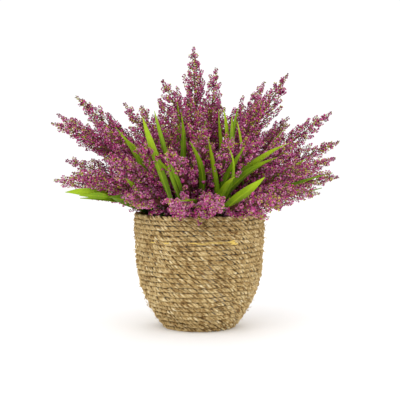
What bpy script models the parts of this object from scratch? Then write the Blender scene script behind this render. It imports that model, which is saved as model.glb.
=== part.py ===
"""Potted heather: a rope basket with its liner and soil, a woody crown with stems,
flower sprays that radiate into a half sphere, and tufts of grass-like blades between them.

Metres, +Z up, the origin at the middle of the basket's base, the front towards -Y.
"""

import math
import random

import bmesh
import bpy
import numpy as np
from mathutils import Matrix, Vector
from mathutils.bvhtree import BVHTree

MM = 0.001
GAP = 0.3 * MM

# Basket
POT_HEIGHT = 130 * MM
RIM_RADIUS = 74 * MM
BASE_SHARE = 0.54
BELLY_POWER = 3.5
ROPE_COURSES = 25
ROPE_GROOVE = 1.4 * MM
ROPE_THICKNESS = 5 * MM
TURNED_STEPS = 22
WALL_LEVELS = (12 * MM, 20 * MM, 32 * MM, 50 * MM, 78 * MM, 112 * MM)
WALL_GAP = 0.4 * MM

# Liner and soil
LINER_WALL = 1.2 * MM
LINER_BELOW_RIM = 5 * MM
SOIL_BELOW_RIM = 16 * MM
SOIL_CROWNING = 2 * MM

# Crown and stems
CROWN_RADIUS = 11.5 * MM
CROWN_HEIGHT = 12 * MM
CROWN_ROOT_DEPTH = 16 * MM
CROWN_SIDES = 12
CROWN_DOME = ((0.0, 1.0), (0.6, 0.88), (0.94, 0.5), (1.0, 0.0))
HEART_ABOVE_SOIL = 4 * MM
STEM_RADIUS = 1.3 * MM
STEM_POINTS = 4
STEM_END_GAP = 0.5 * MM

# Flower sprays
AIM_HEIGHT = 127 * MM
HEAD_START = 47 * MM
HEAD_SIDES = 8
RING_SPACING = 9.9 * MM
FEWEST_RINGS = 6
HOLLOW_SHARE = 0.6
HOLLOW_SPREAD = (0.85, 1.1)
PRONG_SPREAD = (0.85, 1.3)
PRONG_LEAN = 0.4
FOOT_SHARE = 0.42
FULL_FROM = 0.22
TIP_NARROWING = 0.84
TIP_POWER = 2.0
TIP_RAGGEDNESS = 0.3
SPRAY_LIFT = 18 * MM
DROOPING_LIFT = 36 * MM
FORK_AT = 0.22
LINE_POINTS = 64

# Leaf blades
BLADE_THICKNESS = 0.8 * MM
BLADE_SEGMENTS = 6
BLADE_RISE = 26 * MM
BLADE_LEAN = 10 * MM
BLADE_BELLY = 0.4
BLADE_FOOT_SHARE = 0.42
BLADE_FULL_FROM = 0.58
BLADE_TWISTED_FROM = 0.5
BLADE_TIP_POWER = 3.2
BLADE_TIP_SHARE = 0.07
SHEATH_RADIUS = 2.7 * MM
SHEATH_HEIGHT = 4 * MM
SHEATH_DEPTH = 12 * MM
SHEATH_SIDES = 6

# Where a tuft may be moved to, to find its blades a clear way
TUFT_RADII = (22 * MM, 28 * MM, 34 * MM, 40 * MM, 46 * MM)
FOOT_TURNS = range(-24, 25, 3)
FEET_TRIED = 24
BLADE_TURNS = range(-15, 16, 3)
BLADE_TILTS = range(-9, 10, 3)
BLADE_BOWS = (-18, -9, 0, 9, 18)

# Room kept between neighbours
ROOM_FOR_BLADE = 0.5 * MM
LEAST_CORE = 3.2 * MM
CELL_GAP = 1.2 * MM
TOUCH_GAP = 0.6 * MM
TRIM = 0.93
CELL_TRIM = 0.88
CELL_TRIMS = 14
MOST_TRIMS = 60

# Each spray: (azimuth, elevation, reach, girth) of its main head and of any side head.
# Degrees and millimetres. Azimuth 0 is +X and -90 the front, elevation and reach run
# from the aim point above the soil, and girth is the radius of the head at its widest.
SPRAYS = (
    ((180, 88, 190, 15), (207, 73, 158, 12)),
    ((-45, 81, 167, 14), (-22, 67, 134, 11)),
    ((-102, 67, 150, 13),),
    ((-40, 55, 163, 14),),
    ((-5, 58, 187, 14),),
    ((22, 62, 173, 13),),
    ((-4, 38, 188, 14), (10, 47, 152, 12)),
    ((8, 27, 183, 13),),
    ((-13, 23, 165, 12),),
    ((5, 15, 166, 12),),
    ((-22, 11, 142, 12),),
    ((-28, 22, 152, 12),),
    ((-38, 32, 156, 13),),
    ((-41, 13, 144, 12),),
    ((-58, 7, 158, 12),),
    ((-56, 37, 146, 13),),
    ((184, 44, 193, 14),),
    ((174, 35, 200, 13), (191, 32, 195, 12)),
    ((177, 22, 165, 13),),
    ((189, 14, 168, 14),),
    ((190, 56, 152, 13), (165, 61, 142, 11)),
    ((208, 18, 160, 13),),
    ((205, 40, 165, 13),),
    ((223, 26, 150, 13),),
    ((240, 32, 151, 14),),
    ((236, 52, 138, 13),),
    ((227, 12, 122, 12),),
    ((256, 30, 148, 14),),
    ((259, 7, 136, 13),),
    ((273, 47, 135, 14),),
    ((290, 40, 135, 11),),
    ((278, 8, 142, 13), (270, -2, 99, 7)),
)

# Rows of sprays round the back: elevation, first azimuth, last azimuth, count, reach, girth
BACK_ROWS = (
    (13, 27, 153, 5, 160, 13),
    (37, 42, 146, 5, 168, 14),
    (60, 72, 128, 2, 155, 14),
)

# Each tuft's blades: azimuth, elevation, reach, width, the droop of the tip and the twist
TUFTS = (
    ((181, 10, 158, 10, 12, -50), (194, 9, 142, 10, 10, -50)),
    ((222, 49, 140, 9, 5, 30), (244, 58, 138, 9, 0, 15), (231, 40, 126, 8, 5, 30)),
    ((240, 69, 132, 9, 0, 20), (262, 58, 122, 8, 0, 0)),
    ((249, 37, 130, 9, 0, 20), (248, 20, 120, 8, 12, 35)),
    ((232, 20, 132, 9, 5, 45), (212, 33, 148, 8, 0, 45)),
    ((-52, 71, 128, 9, 0, -20), (-36, 66, 130, 8, 0, -30), (-20, 60, 118, 8, 0, -45)),
    ((-72, 54, 124, 8, 0, -15), (-76, 30, 132, 9, 10, -20)),
    ((-50, 22, 158, 11, 14, -40), (-62, 19, 142, 11, 14, -40), (-67, 27, 132, 9, 5, -25)),
    ((-28, 40, 140, 8, 5, -40), (-16, 33, 142, 8, 5, -45)),
    ((-6, 9, 160, 6, 5, 45), (-25, 16, 142, 6, 0, 30)),
    ((60, 47, 142, 10, 10, 15), (84, 26, 146, 10, 15, 0)),
    ((116, 48, 140, 10, 5, -20), (142, 26, 150, 10, 15, -30)),
)


def clear_scene():
    for item in list(bpy.data.objects):
        bpy.data.objects.remove(item, do_unlink=True)


def new_collection(name):
    collection = bpy.data.collections.new(name)
    bpy.context.scene.collection.children.link(collection)
    return collection


def new_material(name, colour, roughness):
    material = bpy.data.materials.new(name)
    material.use_nodes = True
    shader = material.node_tree.nodes["Principled BSDF"]
    shader.inputs["Base Color"].default_value = (*colour, 1.0)
    shader.inputs["Roughness"].default_value = roughness
    shader.inputs["Metallic"].default_value = 0.0
    return material


def move_to(item, collection):
    for owner in list(item.users_collection):
        owner.objects.unlink(item)
    collection.objects.link(item)


def mesh_object(name, points, faces, collection, material=None):
    mesh = bpy.data.meshes.new(name)
    mesh.from_pydata([tuple(point) for point in points], [], faces)
    mesh.update()
    item = bpy.data.objects.new(name, mesh)
    if material:
        mesh.materials.append(material)
    collection.objects.link(item)
    return item


def turned(name, profile, collection, material=None, steps=TURNED_STEPS):
    """A solid of revolution. Its profile of (radius, height) runs down the outer side."""
    points = [(radius, 0.0, height) for radius, height in profile]
    edges = [(i, i + 1) for i in range(len(points) - 1)]
    mesh = bpy.data.meshes.new(name)
    mesh.from_pydata(points, edges, [])
    item = bpy.data.objects.new(name, mesh)
    if material:
        mesh.materials.append(material)
    collection.objects.link(item)
    screw = item.modifiers.new("Turn", "SCREW")
    screw.steps = steps
    screw.render_steps = steps
    screw.use_merge_vertices = True
    screw.merge_threshold = 0.00001
    screw.use_smooth_shade = True
    return item


def applied(item):
    """The object with its modifiers made real."""
    graph = bpy.context.evaluated_depsgraph_get()
    mesh = bpy.data.meshes.new_from_object(item.evaluated_get(graph))
    item.modifiers.clear()
    item.data = mesh
    return item


def fill_hollows(body):
    """Keeps the largest shell of a body, so that a hollow sealed inside it is filled."""
    mesh = bmesh.new()
    mesh.from_mesh(body.data)
    shells = []
    seen = set()
    for vertex in mesh.verts:
        if vertex in seen:
            continue
        seen.add(vertex)
        shell = []
        waiting = [vertex]
        while waiting:
            reached = waiting.pop()
            shell.append(reached)
            for edge in reached.link_edges:
                beyond = edge.other_vert(reached)
                if beyond not in seen:
                    seen.add(beyond)
                    waiting.append(beyond)
        shells.append(shell)
    largest = max(shells, key=len)
    inner = [vertex for shell in shells if shell is not largest for vertex in shell]
    bmesh.ops.delete(mesh, geom=inner, context="VERTS")
    mesh.to_mesh(body.data)
    mesh.free()


def fused(name, pieces, collection, material):
    """One solid from overlapping ones, by a Boolean union on a collection of them."""
    body = pieces[0]
    body.name = name
    if len(pieces) > 1:
        helpers = new_collection(name + " pieces")
        for piece in pieces[1:]:
            move_to(piece, helpers)
        union = body.modifiers.new("Fuse", "BOOLEAN")
        union.operation = "UNION"
        union.operand_type = "COLLECTION"
        union.collection = helpers
        union.solver = "MANIFOLD"
        applied(body)
        fill_hollows(body)
        for piece in list(helpers.objects):
            bpy.data.objects.remove(piece, do_unlink=True)
        bpy.data.collections.remove(helpers)
    body.data.materials.clear()
    body.data.materials.append(material)
    body.data.name = name
    move_to(body, collection)
    return body


def basket_radius(height):
    """The basket's outer radius: straight above, rounded in to the base below."""
    drop = 1 - height / POT_HEIGHT
    return RIM_RADIUS * (1 - (1 - BASE_SHARE) * drop**BELLY_POWER)


def wall_line(inset, floor, top):
    """A wall's line from floor to top, at the given inset from the basket's outside."""
    levels = [floor, *(z for z in WALL_LEVELS if floor < z < top), top]
    return [(basket_radius(z) - inset, z) for z in levels]


def make_basket(collection, material):
    """Rope courses on each other, as ridges round a hollow wall with a flat floor."""
    pitch = POT_HEIGHT / ROPE_COURSES
    inner = wall_line(ROPE_THICKNESS, ROPE_THICKNESS, POT_HEIGHT - pitch / 2)
    ridges = [(RIM_RADIUS - ROPE_THICKNESS / 2, POT_HEIGHT)]
    for course in range(ROPE_COURSES):
        middle = POT_HEIGHT - (course + 0.5) * pitch
        groove = middle - pitch / 2
        ridges.append((basket_radius(middle), middle))
        ridges.append((basket_radius(groove) - ROPE_GROOVE, groove))
    profile = [(0.0, ROPE_THICKNESS), *inner, *ridges, (0.0, 0.0)]
    return turned("basket", profile, collection, material)


def make_liner(collection, material):
    floor = ROPE_THICKNESS + WALL_GAP
    top = POT_HEIGHT - LINER_BELOW_RIM
    inner = wall_line(floor + LINER_WALL, floor + LINER_WALL, top)
    outer = wall_line(floor, floor, top)[::-1]
    profile = [(0.0, floor + LINER_WALL), *inner, *outer, (0.0, floor)]
    return turned("liner", profile, collection, material)


def soil_top():
    return POT_HEIGHT - SOIL_BELOW_RIM


def heart():
    return Vector((0, 0, soil_top() + HEART_ABOVE_SOIL))


def hole_cutter(name, radius, sides, place, cutters):
    """An upright prism over a hole of the given radius, from the hole's bottom up."""
    bpy.ops.mesh.primitive_cylinder_add(
        vertices=sides, radius=radius, depth=4 * CROWN_ROOT_DEPTH, location=place
    )
    cutter = bpy.context.object
    cutter.name = name
    move_to(cutter, cutters)
    cutter.hide_render = True
    cutter.display_type = "WIRE"
    return cutter


def make_soil(feet, collection, cutters, material):
    """The soil's plug, with a plain hole for the crown and for each leaf tuft."""
    inset = ROPE_THICKNESS + LINER_WALL + 2 * WALL_GAP
    floor = inset
    top = soil_top()
    side = wall_line(inset, floor, top - SOIL_CROWNING)[::-1]
    middle = [(side[0][0] * 0.7, top - SOIL_CROWNING * 0.5)]
    soil = turned("soil", [(0.0, top), *middle, *side, (0.0, floor)], collection, material)
    half = 2 * CROWN_ROOT_DEPTH
    crown_bottom = top - CROWN_ROOT_DEPTH - GAP
    places = [("crown_hole", CROWN_RADIUS + GAP, CROWN_SIDES, (0, 0, crown_bottom + half))]
    for number, foot in enumerate(feet, 1):
        place = (foot.x, foot.y, top - SHEATH_DEPTH - GAP + half)
        places.append((f"tuft_hole_{number:02d}", SHEATH_RADIUS + GAP, SHEATH_SIDES, place))
    for name, radius, sides, place in places:
        cut = soil.modifiers.new(name, "BOOLEAN")
        cut.object = hole_cutter(name, radius, sides, place, cutters)
        cut.operation = "DIFFERENCE"
        cut.solver = "EXACT"
    return soil


def direction(azimuth, elevation):
    level = math.cos(math.radians(elevation))
    return Vector(
        (
            level * math.cos(math.radians(azimuth)),
            level * math.sin(math.radians(azimuth)),
            math.sin(math.radians(elevation)),
        )
    )


def tip_of(azimuth, elevation, reach):
    return Vector((0, 0, AIM_HEIGHT)) + direction(azimuth, elevation) * reach * MM


def bezier(controls, t):
    """A point on the Bezier curve of the given control points."""
    points = list(controls)
    while len(points) > 1:
        points = [a.lerp(b, t) for a, b in zip(points, points[1:])]
    return points[0]


def sampled(controls, count, start=0.0, end=1.0):
    return [bezier(controls, start + (end - start) * i / (count - 1)) for i in range(count)]


def spray_controls(start, azimuth, elevation, reach):
    """A curve that leaves its start, rises over the rim and arches down to its tip."""
    tip = tip_of(azimuth, elevation, reach)
    lift = DROOPING_LIFT if elevation < 0 else SPRAY_LIFT
    lift *= math.cos(math.radians(elevation)) ** 2
    return [start, (start + tip) / 2 + Vector((0, 0, lift)), tip]


def share_at(controls, distance):
    """The curve parameter at which it is this far from its start."""
    steps = 200
    for i in range(steps):
        if (bezier(controls, i / steps) - controls[0]).length >= distance:
            return i / steps
    return 1.0


def side_of(tangent):
    """A level direction square to the tangent."""
    side = Vector((0, 0, 1)).cross(tangent)
    if side.length < 0.2:
        side = Vector((0, 1, 0)).cross(tangent)
    return side.normalized()


def girth_at(share):
    """How wide a head is along its length, from its foot at 0 to its tip at 1."""
    swell = min(1.0, FOOT_SHARE + (1 - FOOT_SHARE) * share / FULL_FROM)
    return swell * (1 - TIP_NARROWING * share**TIP_POWER)


class Head:
    """One flower head: prongs and hollows in turn about a curved axis, as lengths along
    fixed directions, so that a prong can be cut back to clear what lies beside it."""

    def __init__(self, controls, start, girth, seed):
        draw = random.Random(seed)
        self.axis = sampled(controls, LINE_POINTS // 2, start)
        whole = sum((b - a).length for a, b in zip(self.axis, self.axis[1:]))
        self.rings = max(FEWEST_RINGS, round(whole / RING_SPACING))
        self.origins = []
        self.ways = []
        self.lengths = []
        step = (1 - start) / self.rings
        for ring in range(self.rings):
            share = ring / self.rings
            t = start + share * (1 - start)
            middle = bezier(controls, t)
            tangent = (bezier(controls, min(1.0, t + step)) - middle).normalized()
            side = side_of(tangent)
            across = tangent.cross(side)
            for column in range(HEAD_SIDES):
                angle = 2 * math.pi * column / HEAD_SIDES
                way = side * math.cos(angle) + across * math.sin(angle)
                length = girth * MM * girth_at(share)
                if ring == 0:
                    length *= HOLLOW_SHARE
                elif (ring + column) % 2:
                    length *= HOLLOW_SHARE * draw.uniform(*HOLLOW_SPREAD)
                else:
                    way = (way + tangent * PRONG_LEAN).normalized()
                    length *= draw.uniform(*PRONG_SPREAD) * (1 + TIP_RAGGEDNESS * share**2)
                self.origins.append(middle)
                self.ways.append(way)
                self.lengths.append(length)
        self.foot = bezier(controls, start)
        self.tip = controls[-1]
        self.faces = self.wound_faces()

    def wound_faces(self):
        """Triangles split from hollow to hollow, so that each prong is a small pyramid."""
        sides = HEAD_SIDES
        faces = []
        for ring in range(self.rings - 1):
            for column in range(sides):
                after = (column + 1) % sides
                a, b = ring * sides + column, ring * sides + after
                c, d = a + sides, b + sides
                if (ring + column) % 2:
                    faces += [(a, b, d), (a, d, c)]
                else:
                    faces += [(a, b, c), (d, c, b)]
        last = (self.rings - 1) * sides
        foot, tip = self.rings * sides, self.rings * sides + 1
        for column in range(sides):
            after = (column + 1) % sides
            faces.append((foot, after, column))
            faces.append((last + column, last + after, tip))
        return faces

    def points(self, extra=0.0):
        shell = [
            origin + way * (length + extra)
            for origin, way, length in zip(self.origins, self.ways, self.lengths)
        ]
        return [*shell, self.foot, self.tip]

    def tree(self, extra):
        return BVHTree.FromPolygons(self.points(extra), self.faces)

    def cut_back(self, corners, share):
        for corner in corners:
            if corner < len(self.lengths):
                self.lengths[corner] *= share


def spray_list():
    """The sprays by hand, then the rows round the back."""
    sprays = list(SPRAYS)
    for elevation, first, last, count, reach, girth in BACK_ROWS:
        for order in range(count):
            azimuth = first + (last - first) * order / (count - 1)
            sprays.append(((azimuth, elevation, reach, girth),))
    return sprays


class Spray:
    """A spray's stem curve and its one or two flower heads."""

    def __init__(self, number, heads):
        self.name = f"spray_{number:02d}"
        main = heads[0]
        self.controls = spray_controls(heart(), *main[:3])
        self.start = share_at(self.controls, HEAD_START)
        self.heads = [Head(self.controls, self.start, main[3], 100 * number)]
        for order, side in enumerate(heads[1:], 1):
            fork = bezier(self.controls, self.start + FORK_AT * (1 - self.start))
            controls = spray_controls(fork, *side[:3])
            self.heads.append(Head(controls, 0.0, side[3], 100 * number + order))

    def curve_points(self):
        return sampled(self.controls, LINE_POINTS)

    def stem_points(self):
        """The stem, from inside the crown to just short of the head's foot."""
        points = sampled(self.controls, STEM_POINTS, 0.0, self.start)
        points[-1] -= (points[-1] - points[-2]).normalized() * STEM_END_GAP
        return points


def cloud(points):
    return np.array([tuple(point) for point in points])


def distances(points, obstacles):
    """How far each point lies from the nearest of a cloud of points."""
    squares = (points**2).sum(axis=1)[:, None] + (obstacles**2).sum(axis=1)[None]
    squares -= 2 * points @ obstacles.T
    return np.sqrt(np.maximum(squares.min(axis=1), 0))


class Blade:
    """A pointed strap of a leaf, on a curve from its tuft's foot to its tip."""

    def __init__(self, foot, azimuth, elevation, reach, width, droop, twist, bow=0.0):
        tip = tip_of(azimuth, elevation, reach)
        outward = direction(azimuth, 0)
        sideways = Vector((0, 0, 1)).cross(outward) * bow
        rise = foot + outward * BLADE_LEAN + Vector((0, 0, BLADE_RISE)) + sideways
        end_way = direction(azimuth, elevation - droop)
        belly = tip - end_way * (tip - foot).length * BLADE_BELLY + sideways
        self.controls = [foot, rise, belly, tip]
        self.width = width * MM
        self.twist = math.radians(twist)

    def width_at(self, share):
        """Narrow at the foot, widest past the middle, pointed at the tip."""
        widening = math.sin(math.pi * min(1.0, share / BLADE_FULL_FROM) / 2) ** 2
        swell = BLADE_FOOT_SHARE + (1 - BLADE_FOOT_SHARE) * widening
        return self.width * swell * (1 - (1 - BLADE_TIP_SHARE) * share**BLADE_TIP_POWER)

    def stations(self, start=0.0, segments=BLADE_SEGMENTS):
        """The middle, the way to the edge and the normal, at even steps."""
        for i in range(segments + 1):
            share = start + (1 - start) * i / segments
            middle = bezier(self.controls, share)
            ahead = bezier(self.controls, min(1.0, share + 0.02))
            behind = bezier(self.controls, max(0.0, share - 0.02))
            tangent = (ahead - behind).normalized()
            turn = self.twist * min(1.0, share / BLADE_TWISTED_FROM)
            side = Matrix.Rotation(turn, 3, tangent) @ side_of(tangent)
            yield middle, side * self.width_at(share) / 2, tangent.cross(side).normalized()

    def spread_points(self, start=0.08):
        """Points along the middle and both edges."""
        points = []
        for middle, side, _ in self.stations(start, 2 * BLADE_SEGMENTS):
            points += [middle - side, middle, middle + side]
        return points

    def mesh(self, extra=0.0):
        """Four corners at each station, both faces split along the same diagonal."""
        half = BLADE_THICKNESS / 2 + extra
        points, faces = [], []
        for middle, side, normal in self.stations():
            side = side * (1 + 2 * extra / self.width)
            for edge, face in ((-1, -1), (1, -1), (1, 1), (-1, 1)):
                points.append(middle + side * edge + normal * half * face)
        for station in range(BLADE_SEGMENTS):
            low = 4 * station
            a, b, c, d = range(low, low + 4)
            e, f, g, h = range(low + 4, low + 8)
            faces += [(a, b, f), (a, f, e), (b, c, g), (b, g, f)]
            faces += [(c, d, g), (d, h, g), (d, a, e), (d, e, h)]
        end = 4 * BLADE_SEGMENTS
        faces += [(0, 2, 1), (0, 3, 2), (end, end + 1, end + 2), (end, end + 2, end + 3)]
        return points, faces


def rim_cloud():
    """Points over the top of the basket's wall, which a blade has to clear."""
    rim = []
    for step in range(72):
        angle = math.radians(5 * step)
        for radius in (RIM_RADIUS - ROPE_THICKNESS, RIM_RADIUS):
            rim.append((radius * math.cos(angle), radius * math.sin(angle), POT_HEIGHT))
    return np.array(rim)


def foot_of(azimuth, radius):
    place = direction(azimuth, 0) * radius
    return Vector((place.x, place.y, soil_top()))


def tube_around(points, radius, sides=6):
    """Points and faces of an open tube round a line."""
    corners, faces = [], []
    for i, point in enumerate(points):
        before = points[max(0, i - 1)]
        after = points[min(len(points) - 1, i + 1)]
        tangent = (after - before).normalized()
        side = side_of(tangent)
        across = tangent.cross(side)
        for k in range(sides):
            angle = 2 * math.pi * k / sides
            corners.append(point + (side * math.cos(angle) + across * math.sin(angle)) * radius)
    for i in range(len(points) - 1):
        for k in range(sides):
            low, after = sides * i + k, sides * i + (k + 1) % sides
            faces.append((low, after, after + sides, low + sides))
    return corners, faces


def joined_tree(shapes):
    """One search tree over several lists of points and faces."""
    points, faces = [], []
    for corners, sides in shapes:
        faces += [tuple(len(points) + corner for corner in face) for face in sides]
        points += corners
    return BVHTree.FromPolygons(points, faces)


def sheath_line(foot):
    return [foot - Vector((0, 0, SHEATH_DEPTH)), foot, foot + Vector((0, 0, SHEATH_HEIGHT))]


def feet_near(azimuth, obstacles):
    """Places for a foot, the one whose blades rise clearest of the stems first."""
    tried = []
    for turn in FOOT_TURNS:
        for radius in TUFT_RADII:
            foot = foot_of(azimuth + turn, radius)
            rise = [foot + Vector((0, 0, lift * MM)) for lift in (-2, 3, 8, 14, 20)]
            score = distances(cloud(rise), obstacles).min() / MM - 0.04 * abs(turn)
            tried.append((score, len(tried), foot))
    tried.sort(reverse=True)
    return [foot for _, _, foot in tried[:FEET_TRIED]]


def best_blade(foot, wanted, obstacles, tree):
    """The blade turned, tilted and bowed a little, to lie clearest of all else."""
    azimuth, elevation, reach, width, droop, twist = wanted
    tried = []
    for turn in BLADE_TURNS:
        for tilt in BLADE_TILTS:
            for bow in BLADE_BOWS:
                turned, tilted = azimuth + turn, elevation + tilt
                blade = Blade(foot, turned, tilted, reach, width, droop, twist, bow * MM)
                apart = distances(cloud(blade.spread_points()), obstacles) / MM
                room = 1.5 * min(apart.min(), 7) + 0.25 * np.minimum(apart, 12).mean()
                score = room - 0.07 * abs(turn) - 0.08 * abs(tilt) - 0.02 * abs(bow)
                tried.append((score, len(tried), blade))
    tried.sort(reverse=True)
    for _, _, blade in tried:
        if not BVHTree.FromPolygons(*blade.mesh(ROOM_FOR_BLADE)).overlap(tree):
            return blade
    return None


def best_tuft(wanted, obstacles, tree):
    """The first foot near the wanted azimuth from which every blade finds a clear way."""
    middle = sum(blade[0] for blade in wanted) / len(wanted)
    for foot in feet_near(middle, obstacles):
        placed = []
        for blade in wanted:
            near = [cloud(other.spread_points(0.3)) for other in placed]
            found = best_blade(foot, blade, np.vstack([obstacles, *near]), tree)
            if found is None:
                break
            placed.append(found)
        if len(placed) == len(wanted):
            return foot, placed
    raise ValueError(f"no clear way for the blades {wanted}")


def place_tufts(sprays):
    """Each tuft's foot and blades, the later ones clear of the earlier."""
    lines = [spray.curve_points() for spray in sprays]
    lines += [head.axis for spray in sprays for head in spray.heads[1:]]
    shapes = []
    for line in lines:
        split = sum((point - heart()).length < HEAD_START for point in line)
        shapes.append(tube_around(line[: split + 1], STEM_RADIUS))
        shapes.append(tube_around(line[split:], LEAST_CORE))
    obstacles = np.vstack([*(cloud(line) for line in lines), rim_cloud()])
    tufts = []
    for wanted in TUFTS:
        foot, placed = best_tuft(wanted, obstacles, joined_tree(shapes))
        sheath = sheath_line(foot)
        edges = [cloud(blade.spread_points()) for blade in placed]
        obstacles = np.vstack([obstacles, cloud(sheath), *edges])
        shapes.append(tube_around(sheath, SHEATH_RADIUS))
        shapes += [blade.mesh() for blade in placed]
        tufts.append((foot, placed))
    return tufts


def make_tuft(number, foot, blades, collection, material):
    """A tuft: its blades fused with the round sheath that stands in the soil."""
    depth = SHEATH_DEPTH + SHEATH_HEIGHT
    bpy.ops.mesh.primitive_cylinder_add(
        vertices=SHEATH_SIDES,
        radius=SHEATH_RADIUS,
        depth=depth,
        location=(foot.x, foot.y, foot.z - SHEATH_DEPTH + depth / 2),
    )
    sheath = bpy.context.object
    move_to(sheath, collection)
    pieces = [sheath]
    for blade in blades:
        pieces.append(mesh_object("blade", *blade.mesh(), collection))
    return fused(f"leaf_tuft_{number:02d}", pieces, collection, material)


def make_stems(sprays, collection, material):
    """The woody crown with a stem to each spray, as one body."""
    top = soil_top()
    bottom = top - CROWN_ROOT_DEPTH
    dome = [(CROWN_RADIUS * across, top + CROWN_HEIGHT * up) for across, up in CROWN_DOME]
    profile = [*dome, (CROWN_RADIUS, bottom), (0.0, bottom)]
    crown = applied(turned("crown", profile, collection, steps=CROWN_SIDES))
    pieces = [crown]
    for spray in sprays:
        curve = bpy.data.curves.new("stem", "CURVE")
        curve.dimensions = "3D"
        curve.bevel_depth = STEM_RADIUS
        curve.bevel_resolution = 0
        curve.use_fill_caps = True
        spline = curve.splines.new("POLY")
        points = spray.stem_points()
        spline.points.add(len(points) - 1)
        for point, place in zip(spline.points, points):
            point.co = (*place, 1.0)
        guide = bpy.data.objects.new("stem", curve)
        collection.objects.link(guide)
        pieces.append(welded_mesh(guide, collection))
    return fused("stems", pieces, collection, material)


def welded_mesh(guide, collection):
    """A curve's tube as a closed mesh, its caps joined to its sides."""
    graph = bpy.context.evaluated_depsgraph_get()
    mesh = bpy.data.meshes.new_from_object(guide.evaluated_get(graph))
    shape = bmesh.new()
    shape.from_mesh(mesh)
    bmesh.ops.remove_doubles(shape, verts=shape.verts, dist=0.00001)
    bmesh.ops.recalc_face_normals(shape, faces=shape.faces)
    shape.to_mesh(mesh)
    shape.free()
    tube = bpy.data.objects.new(guide.name, mesh)
    tube.matrix_world = guide.matrix_world
    collection.objects.link(tube)
    bpy.data.objects.remove(guide, do_unlink=True)
    return tube


def tree_of(items):
    """One search tree over the evaluated faces of several objects."""
    graph = bpy.context.evaluated_depsgraph_get()
    points, faces = [], []
    for item in items:
        mesh = item.evaluated_get(graph).to_mesh()
        mesh.calc_loop_triangles()
        offset = len(points)
        points += [item.matrix_world @ vertex.co for vertex in mesh.vertices]
        for triangle in mesh.loop_triangles:
            faces.append(tuple(offset + corner for corner in triangle.vertices))
    return BVHTree.FromPolygons(points, faces)


def cut_to_cells(sprays):
    """Prongs cut back to where their own axis is nearer than any other."""
    owners = []
    lines = []
    for index, spray in enumerate(sprays):
        for line in [spray.curve_points(), *(head.axis for head in spray.heads[1:])]:
            lines.append(cloud(line))
            owners += [index] * len(line)
    owners = np.array(owners)
    lines = np.vstack(lines)
    for index, spray in enumerate(sprays):
        others = lines[owners != index]
        own = lines[owners == index]
        for head in spray.heads:
            for _ in range(CELL_TRIMS):
                points = cloud(head.points()[:-2])
                margin = distances(points, others) - distances(points, own)
                head.cut_back(np.nonzero(margin < CELL_GAP)[0].tolist(), CELL_TRIM)


def cut_to_tree(sprays, tree):
    """Prongs cut back to stop short of the blades, the stems and the basket."""
    for spray in sprays:
        for head in spray.heads:
            for i, (origin, way) in enumerate(zip(head.origins, head.ways)):
                reach = head.lengths[i] + CELL_GAP
                place, _, _, distance = tree.ray_cast(origin, way, reach)
                if place is not None:
                    head.lengths[i] = max(0.3 * distance, distance - CELL_GAP)


def clear_contacts(sprays, tree):
    """Whatever still touches is cut back a little at a time, until nothing does."""
    heads = [(index, head) for index, spray in enumerate(sprays) for head in spray.heads]
    for _ in range(MOST_TRIMS):
        touching = False
        trees = [head.tree(TOUCH_GAP) for _, head in heads]
        for (_, head), own in zip(heads, trees):
            hits = own.overlap(tree)
            touching = touching or bool(hits)
            head.cut_back({corner for face, _ in hits for corner in head.faces[face]}, TRIM)
        for i, (owner, head) in enumerate(heads):
            for j in range(i + 1, len(heads)):
                other_owner, other = heads[j]
                if owner == other_owner:
                    continue
                hits = trees[i].overlap(trees[j])
                touching = touching or bool(hits)
                head.cut_back({c for face, _ in hits for c in head.faces[face]}, TRIM)
                other.cut_back({c for _, face in hits for c in other.faces[face]}, TRIM)
        if not touching:
            return
    raise ValueError("some flower heads still touch")


def make_spray(spray, collection, material):
    pieces = [
        mesh_object(spray.name, head.points(), head.faces, collection) for head in spray.heads
    ]
    return fused(spray.name, pieces, collection, material)


def main():
    clear_scene()
    parts = new_collection("Potted heather")
    cutters = new_collection("Cutters")
    rope = new_material("seagrass rope", (0.42, 0.27, 0.13), 0.8)
    lining = new_material("grey lining", (0.30, 0.32, 0.34), 0.6)
    earth = new_material("peat soil", (0.06, 0.04, 0.025), 0.95)
    stalk = new_material("green stalk", (0.14, 0.20, 0.05), 0.6)
    bloom = new_material("heather florets", (0.30, 0.06, 0.18), 0.7)
    leaf = new_material("leaf blade", (0.22, 0.38, 0.03), 0.5)

    sprays = [Spray(number, heads) for number, heads in enumerate(spray_list(), 1)]
    tufts = place_tufts(sprays)
    basket = make_basket(parts, rope)
    liner = make_liner(parts, lining)
    soil = make_soil([foot for foot, _ in tufts], parts, cutters, earth)
    stems = make_stems(sprays, parts, stalk)
    tuft_items = [
        make_tuft(number, foot, blades, parts, leaf)
        for number, (foot, blades) in enumerate(tufts, 1)
    ]
    bpy.context.view_layer.update()
    tree = tree_of([basket, liner, soil, stems, *tuft_items])
    cut_to_cells(sprays)
    cut_to_tree(sprays, tree)
    clear_contacts(sprays, tree)
    for spray in sprays:
        make_spray(spray, parts, bloom)


main()
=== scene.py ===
"""A potted heather in a coiled rope basket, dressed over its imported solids."""

import math

import bmesh
import bpy
import numpy as np
from bpy.props import FloatProperty, FloatVectorProperty, IntProperty, PointerProperty
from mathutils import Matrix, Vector
from mathutils.kdtree import KDTree


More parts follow.
